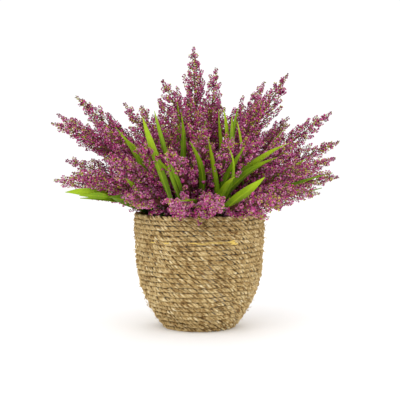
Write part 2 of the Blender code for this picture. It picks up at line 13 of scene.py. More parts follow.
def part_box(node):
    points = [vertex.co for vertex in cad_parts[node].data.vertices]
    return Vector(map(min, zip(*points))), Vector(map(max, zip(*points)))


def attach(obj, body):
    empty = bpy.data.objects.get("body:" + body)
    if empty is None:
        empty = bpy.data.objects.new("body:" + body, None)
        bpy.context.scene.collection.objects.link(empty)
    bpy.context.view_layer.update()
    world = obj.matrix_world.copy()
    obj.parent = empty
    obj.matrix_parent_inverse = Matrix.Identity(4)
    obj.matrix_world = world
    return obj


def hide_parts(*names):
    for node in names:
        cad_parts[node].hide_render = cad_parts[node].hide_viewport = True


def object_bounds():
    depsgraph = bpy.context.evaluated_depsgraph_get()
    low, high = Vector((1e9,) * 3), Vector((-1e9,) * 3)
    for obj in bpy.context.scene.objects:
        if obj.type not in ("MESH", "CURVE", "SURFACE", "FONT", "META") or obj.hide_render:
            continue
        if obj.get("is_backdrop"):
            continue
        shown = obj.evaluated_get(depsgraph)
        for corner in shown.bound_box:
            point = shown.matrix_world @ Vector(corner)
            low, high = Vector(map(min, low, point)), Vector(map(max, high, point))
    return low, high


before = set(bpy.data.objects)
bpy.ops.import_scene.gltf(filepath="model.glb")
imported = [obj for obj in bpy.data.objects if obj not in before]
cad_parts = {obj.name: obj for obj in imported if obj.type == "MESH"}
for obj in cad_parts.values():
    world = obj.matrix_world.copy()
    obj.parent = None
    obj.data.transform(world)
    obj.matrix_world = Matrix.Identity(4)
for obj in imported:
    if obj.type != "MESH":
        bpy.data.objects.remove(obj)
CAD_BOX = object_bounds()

bl_info = {
    "name": "Potted heather",
    "version": (1, 0, 0),
    "blender": (4, 5, 0),
    "location": "3D View > Sidebar > Heather",
    "description": "Dresses the potted heather: basket, lining, soil, stems, flower sprays and leaves",
    "category": "Object",
}

MM = 0.001
GOLDEN_ANGLE = math.radians(137.5)

# Where each kind of random draw starts, so that every run gives the same plant.
SEEDS = {
    "strands": 11, "strays": 12, "levels": 13, "rounds": 14, "golden": 15, "courses": 16,
    "litter": 21, "stems": 31, "sprays": 300, "tufts": 400,
}

# The rules the solids were made by, which the finer pieces follow, and how near points are welded.
POT_HEIGHT = 130 * MM
RIM_RADIUS = 74 * MM
BASE_SHARE = 0.54
BELLY_POWER = 3.5
ROPE_COURSES = 25
SOIL_TOP = 114 * MM
SOIL_CROWNING = 2 * MM
HEART = Vector((0, 0, 118 * MM))
AIM = Vector((0, 0, 127 * MM))
HEAD_START = 47 * MM
HEAD_SIDES = 8
FORK_AT = 0.22
SPRAY_LIFT = 18 * MM
DROOPING_LIFT = 36 * MM
BLADE_SEGMENTS = 6
WELD_WITHIN = 1e-6

# The rope: its strands, where it climbs a course, how courses bulge, and how its end is tucked in.
STRANDS = 3
STEP_ROUND = math.radians(2)
SEAM_ANGLE = math.radians(100)
CLIMB_FROM = 0.9
COURSE_BULGE = 0.8
COURSE_DRIFT = 7.0
TUCK_SHARE = 0.06
TUCK_IN = 4.5 * MM
TUCK_DOWN = 3.0 * MM
THREAD_RADIUS = 0.6 * MM
THREAD_HEIGHT = 101.6
STRAY_RADIUS = 0.2 * MM
CREST_FROM = 0.35

# Lengths of the golden straw: first and last angle in degrees, thickness, and millimetres above its course.
GOLDEN_LENGTHS = (
    (-136, -130, 0.9, 0.0), (-123, -115, 1.2, 0.0), (-100, -83, 0.9, 0.0), (-85, -66, 0.8, 0.4),
    (-64, -56, 1.7, -0.9), (-66, -58, 1.6, 0.4), (-64, -59, 1.4, 1.6),
)

# A cup's sides, radius, height and the height of its middle, for a floret and a bud one unit long.
FLORET_FORM = (5, 0.52, 0.8, 0.7)
BUD_FORM = (4, 0.46, 0.58, 1.0)
FLORET_WIDTHS = (1.05, 1.0)

# A floret's row of numbers starts with its place and its way, and goes on with these.
SIZE, TINT, DEPTH, CLOSED, GREEN = range(6, 11)

# Florets nearer than this to a blade, as a share of their length, or deeper in the head are left out.
FLORET_CLEARANCE = 0.7
LEAST_DEPTH = 0.2

# Where twigs and spikes begin on a head and how much of it they take, and their wood's thickness.
TWIG_SPAN = (0.02, 0.93)
SPIKE_SPAN = (0.06, 0.62)
TWIG_TAPER = (1.0, 0.9, 0.7)
SPIKE_TAPER = (1.3, 1.1, 0.9, 0.7, 0.5)
WOOD_RADIUS = 0.32 * MM

# Where a head's spire begins, how thick its core is and how it thins, and how strongly knots gather twigs.
SPIRE_FROM = 0.84
CORE_SHARE = 0.46
CORE_POWER = 1.3
KNOT_PULL = 0.85

# How near a prong counts along and round the stalk, and how far it stands out from the points beside it.
PRONG_NEAR = 7 * MM
PRONG_NEAR_ROUND = 0.7
PRONG_RISE = 1.12

# The steps along a stalk, the crown's radius, and how far from the heart the bark turns green.
STALK_STEPS = 80
CROWN_RADIUS = 11 * MM
BARK_LENGTH = 42 * MM

# Young blades that the solids leave out: tuft, a place passed and the tip in millimetres, and width.
YOUNG_BLADES = (
    (1, (-100, -48, 152), (-147, -40, 155), 11.0),
    (1, (-93, -68, 151), (-128, -70, 153), 9.5),
    (2, (-43, -88, 186), (-60, -76, 236), 8.0),
    (3, (-42, -76, 221), (-48, -64, 243), 5.0),
    (4, (-23, -88, 168), (-30, -104, 188), 7.0),
    (4, (-29, -95, 174), (-34, -105, 199), 4.0),
    (6, (31, -46, 214), (26, -42, 246), 7.0),
    (6, (35, -56, 212), (35, -50, 238), 6.0),
    (6, (37, -50, 223), (42, -44, 247), 5.0),
    (7, (36, -88, 180), (30, -100, 204), 3.5),
    (8, (46, -95, 156), (67, -110, 174), 10.0),
    (9, (44, -68, 211), (40, -66, 232), 5.0),
)

# A young blade's width from foot to tip, how far from the tuft's foot it starts, and its rise and lean.
YOUNG_PROFILE = (0.3, 0.45, 0.68, 0.92, 1.0, 0.76, 0.05)
YOUNG_FOOT = 2.5 * MM
BLADE_RISE = 26 * MM
BLADE_LEAN = 10 * MM

# A blade's faces across and along, the part that florets leave bare, and where across it that is tested.
BLADE_GRID = (6, 26)
BARE_SHARES = np.linspace(0.6, 1, 27)
ACROSS_BLADE = (-0.9, -0.45, 0, 0.45, 0.9)

# How the blades are told from the rest of their solid: the longest edge of a tip, the height above the
# soil from which they are read, and the depth of their foot.
TIP_EDGE = 1.4 * MM
BLADE_TIPS_ABOVE = 5 * MM
BLADES_ABOVE = 4.5 * MM
FOOT_DEPTH = 2 * MM

# The lights' names, places, sizes in metres and watts.
LIGHTS = (
    ("key", (-0.9, -1.3, 1.5), 2.0, 14),
    ("fill", (1.2, -0.9, 0.9), 1.2, 5),
    ("back", (0.2, 1.4, 1.4), 1.2, 5),
)

# Where the lights point, the room's light, the film's width in millimetres and the camera's step aside.
LIT_PLACE = Vector((0, 0, 0.15))
ROOM_LIGHT = 1.04
FILM_WIDTH = 36
CAMERA_ASIDE = 0.0006


def paint(red, green, blue):
    """A colour as it is seen, from 0 to 255, as the linear colour that a shader takes."""
    shares = (channel / 255 for channel in (red, green, blue))
    return tuple(c / 12.92 if c <= 0.04045 else ((c + 0.055) / 1.055) ** 2.4 for c in shares)


def dimmed(colour, share):
    return tuple(min(1, share * channel) for channel in colour)


def colour_setting(name, description, default):
    return FloatVectorProperty(
        name=name, description=description, default=default, subtype="COLOR", size=3, min=0, max=1
    )


def length_setting(name, description, default):
    return FloatProperty(
        name=name, description=description, default=default, subtype="DISTANCE", unit="LENGTH"
    )


def factor_setting(name, description, default, least=0, most=1):
    return FloatProperty(
        name=name, description=description, default=default, subtype="FACTOR", min=least, max=most
    )


def count_setting(name, description, default):
    return IntProperty(name=name, description=description, default=default, min=0)


class BasketSettings(bpy.types.PropertyGroup):
    strand_radius: length_setting("Strand radius", "Radius of one of the rope's strands", 1.34 * MM)
    strand_offset: length_setting("Strand offset", "Distance of a strand from the rope's middle", 1.7 * MM)
    lay: length_setting("Lay", "Length of rope in which a strand goes once round", 12.5 * MM)
    unevenness: factor_setting("Unevenness", "How much a strand swells and thins", 0.2, most=0.4)
    waviness: length_setting("Waviness", "How far the courses stray from level and round", 0.9 * MM)
    strays: count_setting("Stray fibres", "Number of loose fibres on the rope", 520)
    straw: colour_setting("Straw", "The rope's common colour", paint(180, 151, 97))
    pale: colour_setting("Pale", "The rope's bleached fibres", paint(216, 194, 144))
    shaded: colour_setting("Shaded", "The rope's dark fibres", paint(112, 80, 42))
    golden: colour_setting("Golden", "The rope's few yellow turns", paint(238, 208, 110))


class LiningSettings(bpy.types.PropertyGroup):
    film: colour_setting("Film", "Colour of the plastic lining", paint(128, 126, 128))


class SoilSettings(bpy.types.PropertyGroup):
    loam: colour_setting("Loam", "The soil's colour", paint(52, 38, 28))
    bark: colour_setting("Bark", "Colour of the bark crumbs", paint(104, 76, 52))
    crumbs: count_setting("Crumbs", "Number of bark crumbs on the soil", 420)
    fibres: count_setting("Fibres", "Number of pale fibres on the soil", 90)


class SpraySettings(bpy.types.PropertyGroup):
    floret: length_setting("Floret length", "Length of one floret", 2.8 * MM)
    density: factor_setting("Density", "Florets on each millimetre of a side twig", 2.05, 0.1, 5)
    spike_spacing: length_setting("Spike spacing", "Distance from one side spike to the next", 15 * MM)
    twig_spacing: length_setting("Twig spacing", "Distance from one side twig to the next", 1.9 * MM)
    fullness: factor_setting("Fullness", "Reach of the side twigs, to the solid's prongs", 1.18, 0.5, 1.6)
    lean: factor_setting("Lean", "How far a side twig leans forward, to its reach", 1.35, most=3)
    knots_from: factor_setting("Knots from", "Share of a head where knots of twigs begin", 0.55, most=0.95)
    buds: factor_setting("Buds", "Share of the florets that are closed buds", 0.5)
    green_buds: factor_setting("Green buds", "Share of the buds that are still green", 0.42)
    deep: colour_setting("Deep", "The darkest petals", paint(96, 10, 54))
    petal: colour_setting("Petal", "The common petals", paint(212, 72, 146))
    blush: colour_setting("Blush", "The lightest petals", paint(252, 172, 216))
    bud: colour_setting("Bud", "The green buds", paint(182, 170, 24))
    twig: colour_setting("Twig", "The side twigs", paint(146, 140, 46))


class LeafSettings(bpy.types.PropertyGroup):
    thickness: length_setting("Thickness", "Thickness of a leaf blade", 0.5 * MM)
    fold: factor_setting("Fold", "Depth of the fold on the midrib, to the blade's width", 0.42, most=0.5)
    # Shade and lime paint shade at a blade's foot and light at its tip; fresh is its middle colour.
    shade: colour_setting("Shade", "A blade's colour near its foot", paint(46, 76, 2))
    fresh: colour_setting("Fresh", "A blade's colour in its middle", paint(110, 144, 4))
    lime: colour_setting("Lime", "A blade's colour near its tip", paint(166, 196, 18))


class StemSettings(bpy.types.PropertyGroup):
    bark: colour_setting("Bark", "Colour of the old wood", paint(92, 66, 44))
    green: colour_setting("Green", "Colour of the young stem", paint(96, 104, 44))
    foot_radius: length_setting("Foot radius", "Radius of a stem at the crown", 1.5 * MM)
    top_radius: length_setting("Top radius", "Radius of a stem under its flower head", 0.9 * MM)


class StageSettings(bpy.types.PropertyGroup):
    camera_distance: length_setting("Camera distance", "Camera's distance from the pot's middle", 1.1)
    camera_height: length_setting("Camera height", "Camera's height above the floor", 0.207)
    camera_tilt: FloatProperty(
        name="Camera tilt", description="How far the camera looks down", default=math.radians(3.27),
        subtype="ANGLE",
    )
    lens: FloatProperty(
        name="Lens", description="Focal length in millimetres, on a 36 mm sensor", default=87.12, min=1
    )
    floor: colour_setting("Floor", "The floor's colour", (0.97, 0.97, 0.97))


# Shader building


class Value:
    """One output socket of a shader, so that maths on it can be written as a Python expression."""

    def __init__(self, shader, socket):
        self.shader = shader
        self.socket = socket

    def maths(self, operation, *values):
        return self.shader.value("ShaderNodeMath", {"operation": operation}, dict(enumerate(values)))

    def __add__(self, other):
        return self.maths("ADD", self, other)

    def __sub__(self, other):
        return self.maths("SUBTRACT", self, other)

    def __rsub__(self, other):
        return self.maths("SUBTRACT", other, self)

    def __mul__(self, other):
        return self.maths("MULTIPLY", self, other)

    __radd__ = __add__
    __rmul__ = __mul__

    def wave(self):
        return self.maths("SINE", self)

    def size(self):
        return self.maths("ABSOLUTE", self)

    def between(self, low, high, first=0.0, last=1.0):
        """This value's place between two others, clamped, and carried to a new range."""
        sockets = dict(enumerate((self, low, high, first, last)))
        return self.shader.value("ShaderNodeMapRange", {"interpolation_type": "SMOOTHSTEP"}, sockets)


class Shader:
    """A material's nodes, all added by one method."""

    def __init__(self, name):
        self.material = bpy.data.materials.new(name)
        self.material.use_nodes = True
        self.nodes = self.material.node_tree.nodes
        self.links = self.material.node_tree.links
        self.nodes.clear()

    def add(self, kind, settings=None, sockets=None):
        node = self.nodes.new(kind)
        for key, setting in (settings or {}).items():
            if key == "stops":
                self.set_stops(node.color_ramp, setting)
            else:
                setattr(node, key, setting)
        for key, value in (sockets or {}).items():
            socket = node.inputs[key]
            if isinstance(value, Value):
                self.links.new(value.socket, socket)
            elif socket.type == "RGBA" and len(value) == 3:
                socket.default_value = (*value, 1)
            else:
                socket.default_value = value
        return node

    def value(self, kind, settings=None, sockets=None, output=0):
        return Value(self, self.add(kind, settings, sockets).outputs[output])

    @staticmethod
    def set_stops(ramp, stops):
        while len(ramp.elements) < len(stops):
            ramp.elements.new(0.5)
        for element, (place, colour) in zip(ramp.elements, stops):
            element.position = place
            element.color = (*colour, 1)

    def ramp(self, factor, *stops):
        return self.value("ShaderNodeValToRGB", {"stops": stops}, {"Fac": factor}, "Color")

    def mix(self, factor, first, second):
        settings = {"data_type": "RGBA", "clamp_factor": True}
        return self.value("ShaderNodeMix", settings, {0: factor, 6: first, 7: second}, 2)

    def attribute(self, name):
        return self.value("ShaderNodeAttribute", {"attribute_name": name}, output="Fac")

    def place(self):
        return self.value("ShaderNodeTexCoord", output="Object")

    def parts_of_map(self):
        """The two coordinates of the piece's own UV map."""
        uv = self.value("ShaderNodeUVMap", output="UV")
        parts = self.add("ShaderNodeSeparateXYZ", sockets={0: uv}).outputs
        return Value(self, parts["X"]), Value(self, parts["Y"])

    def point(self, x, y):
        return self.value("ShaderNodeCombineXYZ", sockets={0: x, 1: y})

    def noise(self, place, scale, detail=3.0, roughness=0.5, distortion=0.0):
        sockets = {
            "Vector": place, "Scale": scale, "Detail": detail, "Roughness": roughness,
            "Distortion": distortion,
        }
        return self.value("ShaderNodeTexNoise", sockets=sockets, output="Fac")

    def cells(self, place, scale):
        sockets = {"Vector": place, "Scale": scale}
        return self.value("ShaderNodeTexVoronoi", sockets=sockets, output="Distance")

    def bump(self, height, strength, distance):
        sockets = {"Height": height, "Strength": strength, "Distance": distance}
        return self.value("ShaderNodeBump", sockets=sockets, output="Normal")

    def finish(self, colour, roughness, normal=None, gloss=0.5):
        """Closes the material with its surface."""
        sockets = {"Base Color": colour, "Roughness": roughness, "Specular IOR Level": gloss}
        if normal:
            sockets["Normal"] = normal
        surface = self.value("ShaderNodeBsdfPrincipled", sockets=sockets)
        self.add("ShaderNodeOutputMaterial", sockets={"Surface": surface})
        return self.material


def rope_material(look):
    """Twisted straw: streaks along the strand, pale and dark lengths, painted brown shade between the
    strands with painted glimpses of grey lining, a few golden turns.
    """
    shader = Shader("twisted straw rope")
    along, across = shader.parts_of_map()
    place = shader.place()
    strokes = shader.noise(shader.point(along * 1.3, 3.0), 1.0, 2.0, 0.6)
    streaks = shader.noise(shader.point(along * 1.5, across * 8.0), 1.0, 3.0, 0.65)
    turns = shader.noise(shader.point(along * 0.16, 7.0), 1.0, 3.0, 0.7)
    patches = shader.noise(place, 30.0, 3.0, 0.6)
    tone = strokes * 1.6 + streaks * 1.45 + turns * 0.3 + patches * 0.3 - 1.29
    darkest, lightest = paint(76, 50, 26), paint(242, 230, 196)
    colour = shader.ramp(
        tone, (0.0, darkest), (0.26, look.shaded), (0.5, look.straw), (0.74, look.pale), (1.0, lightest)
    )
    shows_lining = shader.noise(place, 22.0, 2.0).between(0.61, 0.68)
    # Between the strands the colour turns to painted brown shade, with patches of painted grey lining as if
    # glimpsed between the courses.
    shade_and_lining_colour = shader.mix(shows_lining, paint(84, 54, 26), paint(136, 128, 130))
    painted_shade_mask = shader.attribute("crest").between(0.25, 0.8, 0.9, 0.0)
    colour = shader.mix(painted_shade_mask * patches.between(0.3, 0.6, 0.5, 1.0), colour, shade_and_lining_colour)
    colour = shader.mix(shader.attribute("golden"), colour, look.golden)
    return shader.finish(colour, 1.0 - tone * 0.3, shader.bump(streaks, 0.7, 0.5 * MM), 0.25)


def lining_material(look):
    """Thin grey plastic with faint creases, painted darker in their troughs and lighter on their ridges as
    painted shade and highlight.
    """
    shader = Shader("grey plastic lining")
    place = shader.place()
    creases = shader.noise(place, 60.0, 5.0, 0.6, 1.5)
    dust = shader.noise(place, 400.0, 2.0)
    # Darker film in the creases' troughs is painted shade and lighter film on their ridges a painted
    # highlight; the dust is the film's own.
    colour = shader.ramp(
        creases * 0.8 + dust * 0.2,
        (0.25, dimmed(look.film, 0.55)), (0.6, look.film), (0.85, dimmed(look.film, 1.5)),
    )
    roughness = creases.between(0.3, 0.7, 0.35, 0.55)
    return shader.finish(colour, roughness, shader.bump(creases, 0.5, 1.0 * MM))


def soil_material(look):
    """Dark loam with lighter crumbs and small pits."""
    shader = Shader("dark loam")
    place = shader.place()
    lumps = shader.cells(place, 420.0)
    grains = shader.noise(place, 900.0, 4.0, 0.7)
    damp = shader.noise(place, 45.0)
    tone = grains * 0.6 + lumps * 0.5 + damp * 0.3
    colour = shader.ramp(tone, (0.35, dimmed(look.loam, 0.4)), (0.62, look.loam), (0.9, look.bark))
    roughness = damp.between(0.3, 0.7, 0.75, 0.98)
    return shader.finish(colour, roughness, shader.bump(grains * 0.5 + lumps, 0.9, 1.2 * MM), 0.2)


def crumb_material(look):
    """Bark crumbs and dry fibres, each with its own tone."""
    shader = Shader("bark crumbs and dry fibres")
    grain = shader.noise(shader.place(), 1400.0)
    dry, bleached = paint(150, 122, 84), paint(168, 156, 130)
    colour = shader.ramp(
        shader.attribute("tint"), (0.0, look.loam), (0.7, look.bark), (0.9, dry), (1.0, bleached)
    )
    colour = shader.mix(grain * 0.5, colour, look.loam)
    return shader.finish(colour, grain.between(0.2, 0.8, 0.7, 0.95), shader.bump(grain, 0.6, 0.4 * MM))


def stem_material(look):
    """Wood at the foot that turns into young green stem, with ringed bark."""
    shader = Shader("woody stem")
    bark = shader.noise(shader.place(), 700.0, 4.0, 0.7)
    young = shader.mix(bark.between(0.35, 0.65), look.green, paint(122, 70, 62))
    old = shader.mix(bark.between(0.3, 0.7), dimmed(look.bark, 0.4), look.bark)
    colour = shader.mix(shader.attribute("age"), young, old)
    return shader.finish(colour, bark.between(0.2, 0.8, 0.6, 0.9), shader.bump(bark, 0.8, 0.5 * MM))


def floret_material(look):
    """Heather florets: each has its own tone, with painted shade at its foot, a painted highlight at its
    lip and painted shade deep in the head.
    """
    shader = Shader("heather florets")
    lip = shader.attribute("lip")
    bud = shader.attribute("bud")
    grain = shader.noise(shader.place(), 1100.0, 2.0)
    tone = shader.attribute("tint") + grain * 0.7 - 0.35
    petals = shader.ramp(tone, (0.05, look.deep), (0.5, look.petal), (1.0, look.blush))
    # Painted shade at a floret's foot and a painted highlight at its lip, by each point's height in the
    # floret.
    petals = shader.mix(lip.between(0.5, 1.0, 0.6, 0.0), petals, look.deep)
    petals = shader.mix(lip.between(0.8, 1.0, 0.0, 0.5), petals, look.blush)
    green = shader.ramp(tone, (0.1, paint(92, 92, 34)), (0.5, look.bud), (0.9, paint(206, 196, 112)))
    # Painted shade deep in the head: florets near the stalk turn to these dark colours.
    shadow = shader.mix(bud, dimmed(look.deep, 0.35), paint(52, 50, 20))
    shaded = shader.attribute("depth").between(0.1, 0.8, 0.75, 0.0)
    colour = shader.mix(shaded, shader.mix(bud, petals, green), shadow)
    roughness = grain.between(0.2, 0.8, 0.5, 0.75)
    return shader.finish(colour, roughness, shader.bump(grain, 0.4, 0.2 * MM), 0.15)


def twig_material(look):
    """Side twigs between olive and wine red."""
    shader = Shader("thin twigs")
    grain = shader.noise(shader.place(), 260.0)
    colour = shader.ramp(grain, (0.3, paint(122, 84, 44)), (0.5, look.twig), (0.7, paint(180, 184, 70)))
    return shader.finish(colour, grain.between(0.2, 0.8, 0.55, 0.8), shader.bump(grain, 0.4, 0.3 * MM))


def leaf_material(look):
    """A grassy blade: a foot darkened by painted shade, a lime tip lightened by painted light, parallel
    veins, a pale midrib and a few dry flecks.
    """
    shader = Shader("grassy leaf")
    across, along = shader.parts_of_map()
    place = shader.place()
    clouds = shader.noise(place, 90.0)
    veins = (across * 75.0).wave() * 0.5 + 0.5
    ripples = shader.noise(shader.point(along * 6.0, across * 30.0), 1.0)
    # The blade is painted in shade towards its foot and in light towards its lime tip; clouds and tint are
    # its own tone.
    tone = along * 0.9 + clouds * 0.4 + shader.attribute("tint") * 0.3 - 0.46
    colour = shader.ramp(tone, (0.1, look.shade), (0.48, look.fresh), (0.85, look.lime))
    colour = shader.mix(veins * 0.22 + ripples * 0.22, colour, look.shade)
    midrib = (across - 0.5).size().between(0.0, 0.07, 0.5, 0.0)
    colour = shader.mix(midrib, colour, look.lime)
    flecks = shader.noise(place, 330.0, 2.0).between(0.66, 0.74, 0.0, 0.5)
    colour = shader.mix(flecks, colour, paint(150, 132, 62))
    normal = shader.bump(veins * 0.5 + midrib + ripples * 0.3, 0.35, 0.3 * MM)
    return shader.finish(colour, ripples * 0.25 + 0.42, normal, 0.25)


# Modelling


def draws(kind, number=0):
    return np.random.default_rng(SEEDS[kind] + number)


def select_only(*items):
    bpy.ops.object.select_all(action="DESELECT")
    for item in items:
        item.select_set(True)
    bpy.context.view_layer.objects.active = items[0]


def delete(item):
    select_only(item)
    bpy.ops.object.delete()


def added(operator, **settings):
    """The object that an operator adds, with its place and turn carried into its mesh."""
    bpy.ops.object.select_all(action="DESELECT")
    operator(**settings)
    bpy.ops.object.transform_apply(location=True, rotation=True, scale=True)
    return bpy.context.object


def linked(name, data):
    item = bpy.data.objects.new(name, data)
    bpy.context.collection.objects.link(item)
    return item


def cover(item, material):
    """Gives a piece this material in place of those it has."""
    item.data.materials.clear()
    item.data.materials.append(material)


def reshape(item, *steps):
    """Edits a mesh in steps: a test of a point's place, and an operator for the points that pass it."""
    bpy.ops.object.mode_set(mode="EDIT")
    bpy.ops.mesh.select_mode(type="VERT")
    for wanted, operator, value in steps:
        bpy.ops.mesh.select_all(action="DESELECT")
        guide = bmesh.from_edit_mesh(item.data)
        for vertex in guide.verts:
            vertex.select = wanted(vertex.co)
        guide.select_flush_mode()
        bmesh.update_edit_mesh(item.data)
        operator(value=value)
    bpy.ops.object.mode_set(mode="OBJECT")
    return item


def model_cup(sides, radius, height, middle):
    """A cone on its point with a fanned top, whose middle is then sunk or raised."""
    item = added(
        bpy.ops.mesh.primitive_cone_add, vertices=sides, radius1=0, radius2=radius, depth=height,
        end_fill_type="TRIFAN", location=(0, 0, height / 2),
    )
    return reshape(item, (
        lambda co: co.z > height / 2 and co.xy.length < radius / 2,
        bpy.ops.transform.translate, (0, 0, middle - height),
    ))


def model_crumb():
    """A broken bark crumb, one unit across."""
    return reshape(
        added(bpy.ops.mesh.primitive_ico_sphere_add, subdivisions=1, radius=0.5),
        (lambda co: co.z > 0.2, bpy.ops.transform.translate, (0.12, 0.05, -0.12)),
        (lambda co: co.x < -0.2, bpy.ops.transform.resize, (1, 0.6, 0.7)),
    )


def point_array(item):
    points = np.empty(len(item.data.vertices) * 3)
    item.data.vertices.foreach_get("co", points)
    return points.reshape(-1, 3)


def taken_apart(item):
    """A model's points and triangles as arrays. The model itself is deleted."""
    points = point_array(item)
    corners = np.empty(len(item.data.loops), dtype=np.int32)
    item.data.loops.foreach_get("vertex_index", corners)
    delete(item)
    return points, corners.reshape(-1, 3)


def mesh_of(name, points, triangles):
    """An object from arrays of points and triangles."""
    mesh = bpy.data.meshes.new(name)
    mesh.vertices.add(len(points))
    mesh.vertices.foreach_set("co", points.ravel())
    mesh.loops.add(triangles.size)
    mesh.loops.foreach_set("vertex_index", triangles.ravel().astype(np.int32))
    mesh.polygons.add(len(triangles))
    mesh.polygons.foreach_set("loop_start", np.arange(0, triangles.size, 3, dtype=np.int32))
    mesh.update(calc_edges=True)
    return linked(name, mesh)


def set_values(item, **values):
    """Named values on a mesh's points, each one number or a number for each point."""
    count = len(item.data.vertices)
    for key, value in values.items():
        layer = item.data.attributes.new(key, "FLOAT", "POINT")
        layer.data.foreach_set("value", np.ascontiguousarray(np.broadcast_to(value, count), np.float32))


def unit(ways):
    return ways / np.linalg.norm(ways, axis=-1, keepdims=True)


def frame_round(forward, steep=0.95, other=(0.0, 1.0, 0.0)):
    """Two directions across each way, by a helper that is upright where the way isn't."""
    side = unit(np.cross(np.where(np.abs(forward[:, 2:3]) < steep, (0.0, 0.0, 1.0), other), forward))
    return side, np.cross(forward, side)


def copies(model, feet, ways, rolls, lengths, widths):
    """A model's points copied to each foot, along each way, turned by its roll, and sized."""
    points, triangles = model
    side, across = frame_round(ways, 0.9, (1.0, 0.0, 0.0))
    cosine, sine = np.cos(rolls)[:, None], np.sin(rolls)[:, None]
    sized = (
        (side * cosine + across * sine) * widths[:, None],
        (across * cosine - side * sine) * widths[:, None],
        ways * lengths[:, None],
    )
    made = sum((points[None, :, k:k + 1] * way[:, None] for k, way in enumerate(sized)), feet[:, None])
    shifts = (np.arange(len(feet)) * len(points))[:, None, None]
    return made.reshape(-1, 3), (triangles[None] + shifts).reshape(-1, 3)


def curve_object(name, lines, radius, sides=4, caps=True):
    """A curve with one spline for each line of places and radius shares, made a mesh."""
    curve = bpy.data.curves.new(name, "CURVE")
    curve.dimensions = "3D"
    curve.bevel_depth = radius
    curve.bevel_resolution = (sides - 4) // 2
    curve.use_fill_caps = caps
    for places, shares in lines:
        spline = curve.splines.new("POLY")
        spline.points.add(len(places) - 1)
        spline.points.foreach_set("co", np.column_stack([places, np.ones(len(places))]).ravel())
        spline.points.foreach_set("radius", np.asarray(shares, dtype=float))
    select_only(linked(name, curve))
    bpy.ops.object.convert(target="MESH")
    return bpy.context.object


def smooth(item, degrees=50):
    select_only(item)
    bpy.ops.object.shade_smooth_by_angle(angle=math.radians(degrees))


def joined(name, *items):
    select_only(*items)
    bpy.ops.object.join()
    whole = bpy.context.object
    whole.name = name
    whole.data.name = name
    return whole


def stretch_map(item, length, start):
    """Makes the UV map's first coordinate run from a start for a length."""
    layer = item.data.uv_layers.active
    values = np.empty(len(item.data.loops) * 2)
    layer.data.foreach_get("uv", values)
    values[::2] = start + length * values[::2]
    layer.data.foreach_set("uv", values)


def settle(item, slot, *nodes):
    """Hangs a finished piece on the root body and hides the nodes that it stands for. The slot is not used.
    """
    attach(item, "root")
    if nodes:
        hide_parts(*nodes)


def nodes_named(start):
    return sorted(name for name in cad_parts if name.startswith(start))


def welded(node):
    """A node's loose triangles as one connected mesh."""
    guide = bmesh.new()
    guide.from_mesh(node.data)
    bmesh.ops.remove_doubles(guide, verts=guide.verts, dist=WELD_WITHIN)
    return guide


def search_tree(places):
    tree = KDTree(len(places))
    for index, place in enumerate(places):
        tree.insert(place, index)
    tree.balance()
    return tree


def distances(tree, places):
    return np.array([tree.find(place)[2] for place in places])


def round_pot(radii, angles, heights):
    """Places at radii and angles round the pot's middle, and at heights."""
    return np.stack([radii * np.cos(angles), radii * np.sin(angles), heights], axis=1)


def run_along(line):
    """The distance along a line at each of its points."""
    return np.concatenate([[0], np.cumsum(np.linalg.norm(np.diff(line, axis=0), axis=1))])


def places_on(line, along, wanted):
    """Places at the wanted distances along a line."""
    return np.stack([np.interp(wanted, along, line[:, axis]) for axis in range(3)], axis=-1)


def arc(controls, share):
    """Places on the curve with a start, one bend and an end."""
    first, middle, last = controls
    return first * (1 - share) ** 2 + 2 * middle * share * (1 - share) + last * share**2


def bent_line(count, *controls):
    return arc(controls, np.linspace(0, 1, count)[:, None])


# Basket


def basket_radius(height):
    share = np.clip(height / POT_HEIGHT, 0, 1)
    return RIM_RADIUS * (1 - (1 - BASE_SHARE) * (1 - share) ** BELLY_POWER)


def slow_waves(angle, course, kind, size, drift=1.0):
    """Small even waves round the pot that drift from one course to the next."""
    draw = draws(kind)
    total = np.zeros_like(angle)
    for turns in (2, 3, 5, 8, 13, 21):
        shift = course * drift * draw.uniform(0.1, 0.6) + draw.uniform(0, 6)
        total += np.sin(turns * angle + shift) / turns**0.5
    return total * size / 2


def rope_line(look):
    """The middle of the rope: a flat coil under the pot, then level courses that each climb at the back."""
    pitch = POT_HEIGHT / ROPE_COURSES
    half = pitch / 2
    flat_turns = (basket_radius(0) - half - half) / pitch
    flat = np.arange(0, flat_turns * math.tau, STEP_ROUND)
    wall = np.arange(0, ROPE_COURSES * math.tau, STEP_ROUND)
    turn = wall / math.tau
    climb = np.clip((turn - np.floor(turn) - CLIMB_FROM) / (1 - CLIMB_FROM), 0, 1)
    level = np.minimum(np.floor(turn) + climb * climb * (3 - 2 * climb), ROPE_COURSES - 1)
    wall_height = half + pitch * level
    angle = np.concatenate([flat - flat_turns * math.tau, wall]) + SEAM_ANGLE
    ring = np.concatenate([half + pitch * flat / math.tau, basket_radius(wall_height) - half])
    height = np.concatenate([np.full_like(flat, half), wall_height])
    tuck = np.clip((turn - (ROPE_COURSES - TUCK_SHARE)) / TUCK_SHARE, 0, 1)
    ring[-len(tuck):] -= TUCK_IN * tuck**2
    height[-len(tuck):] -= TUCK_DOWN * tuck**2
    course = (height - half) / pitch
    loose = np.clip(course / 2, 0, 1) * np.clip((ROPE_COURSES - 1 - course) / 2, 0.3, 1)
    height += slow_waves(angle, course, "levels", look.waviness) * loose
    ring += slow_waves(angle, course, "rounds", look.waviness) * loose
    ring += slow_waves(angle, course, "courses", COURSE_BULGE * look.waviness, COURSE_DRIFT) * loose
    return round_pot(ring, angle, height)


def resampled(line, spacing):
    along = run_along(line)
    wanted = np.arange(0, along[-1], spacing)
    return places_on(line, along, wanted), wanted


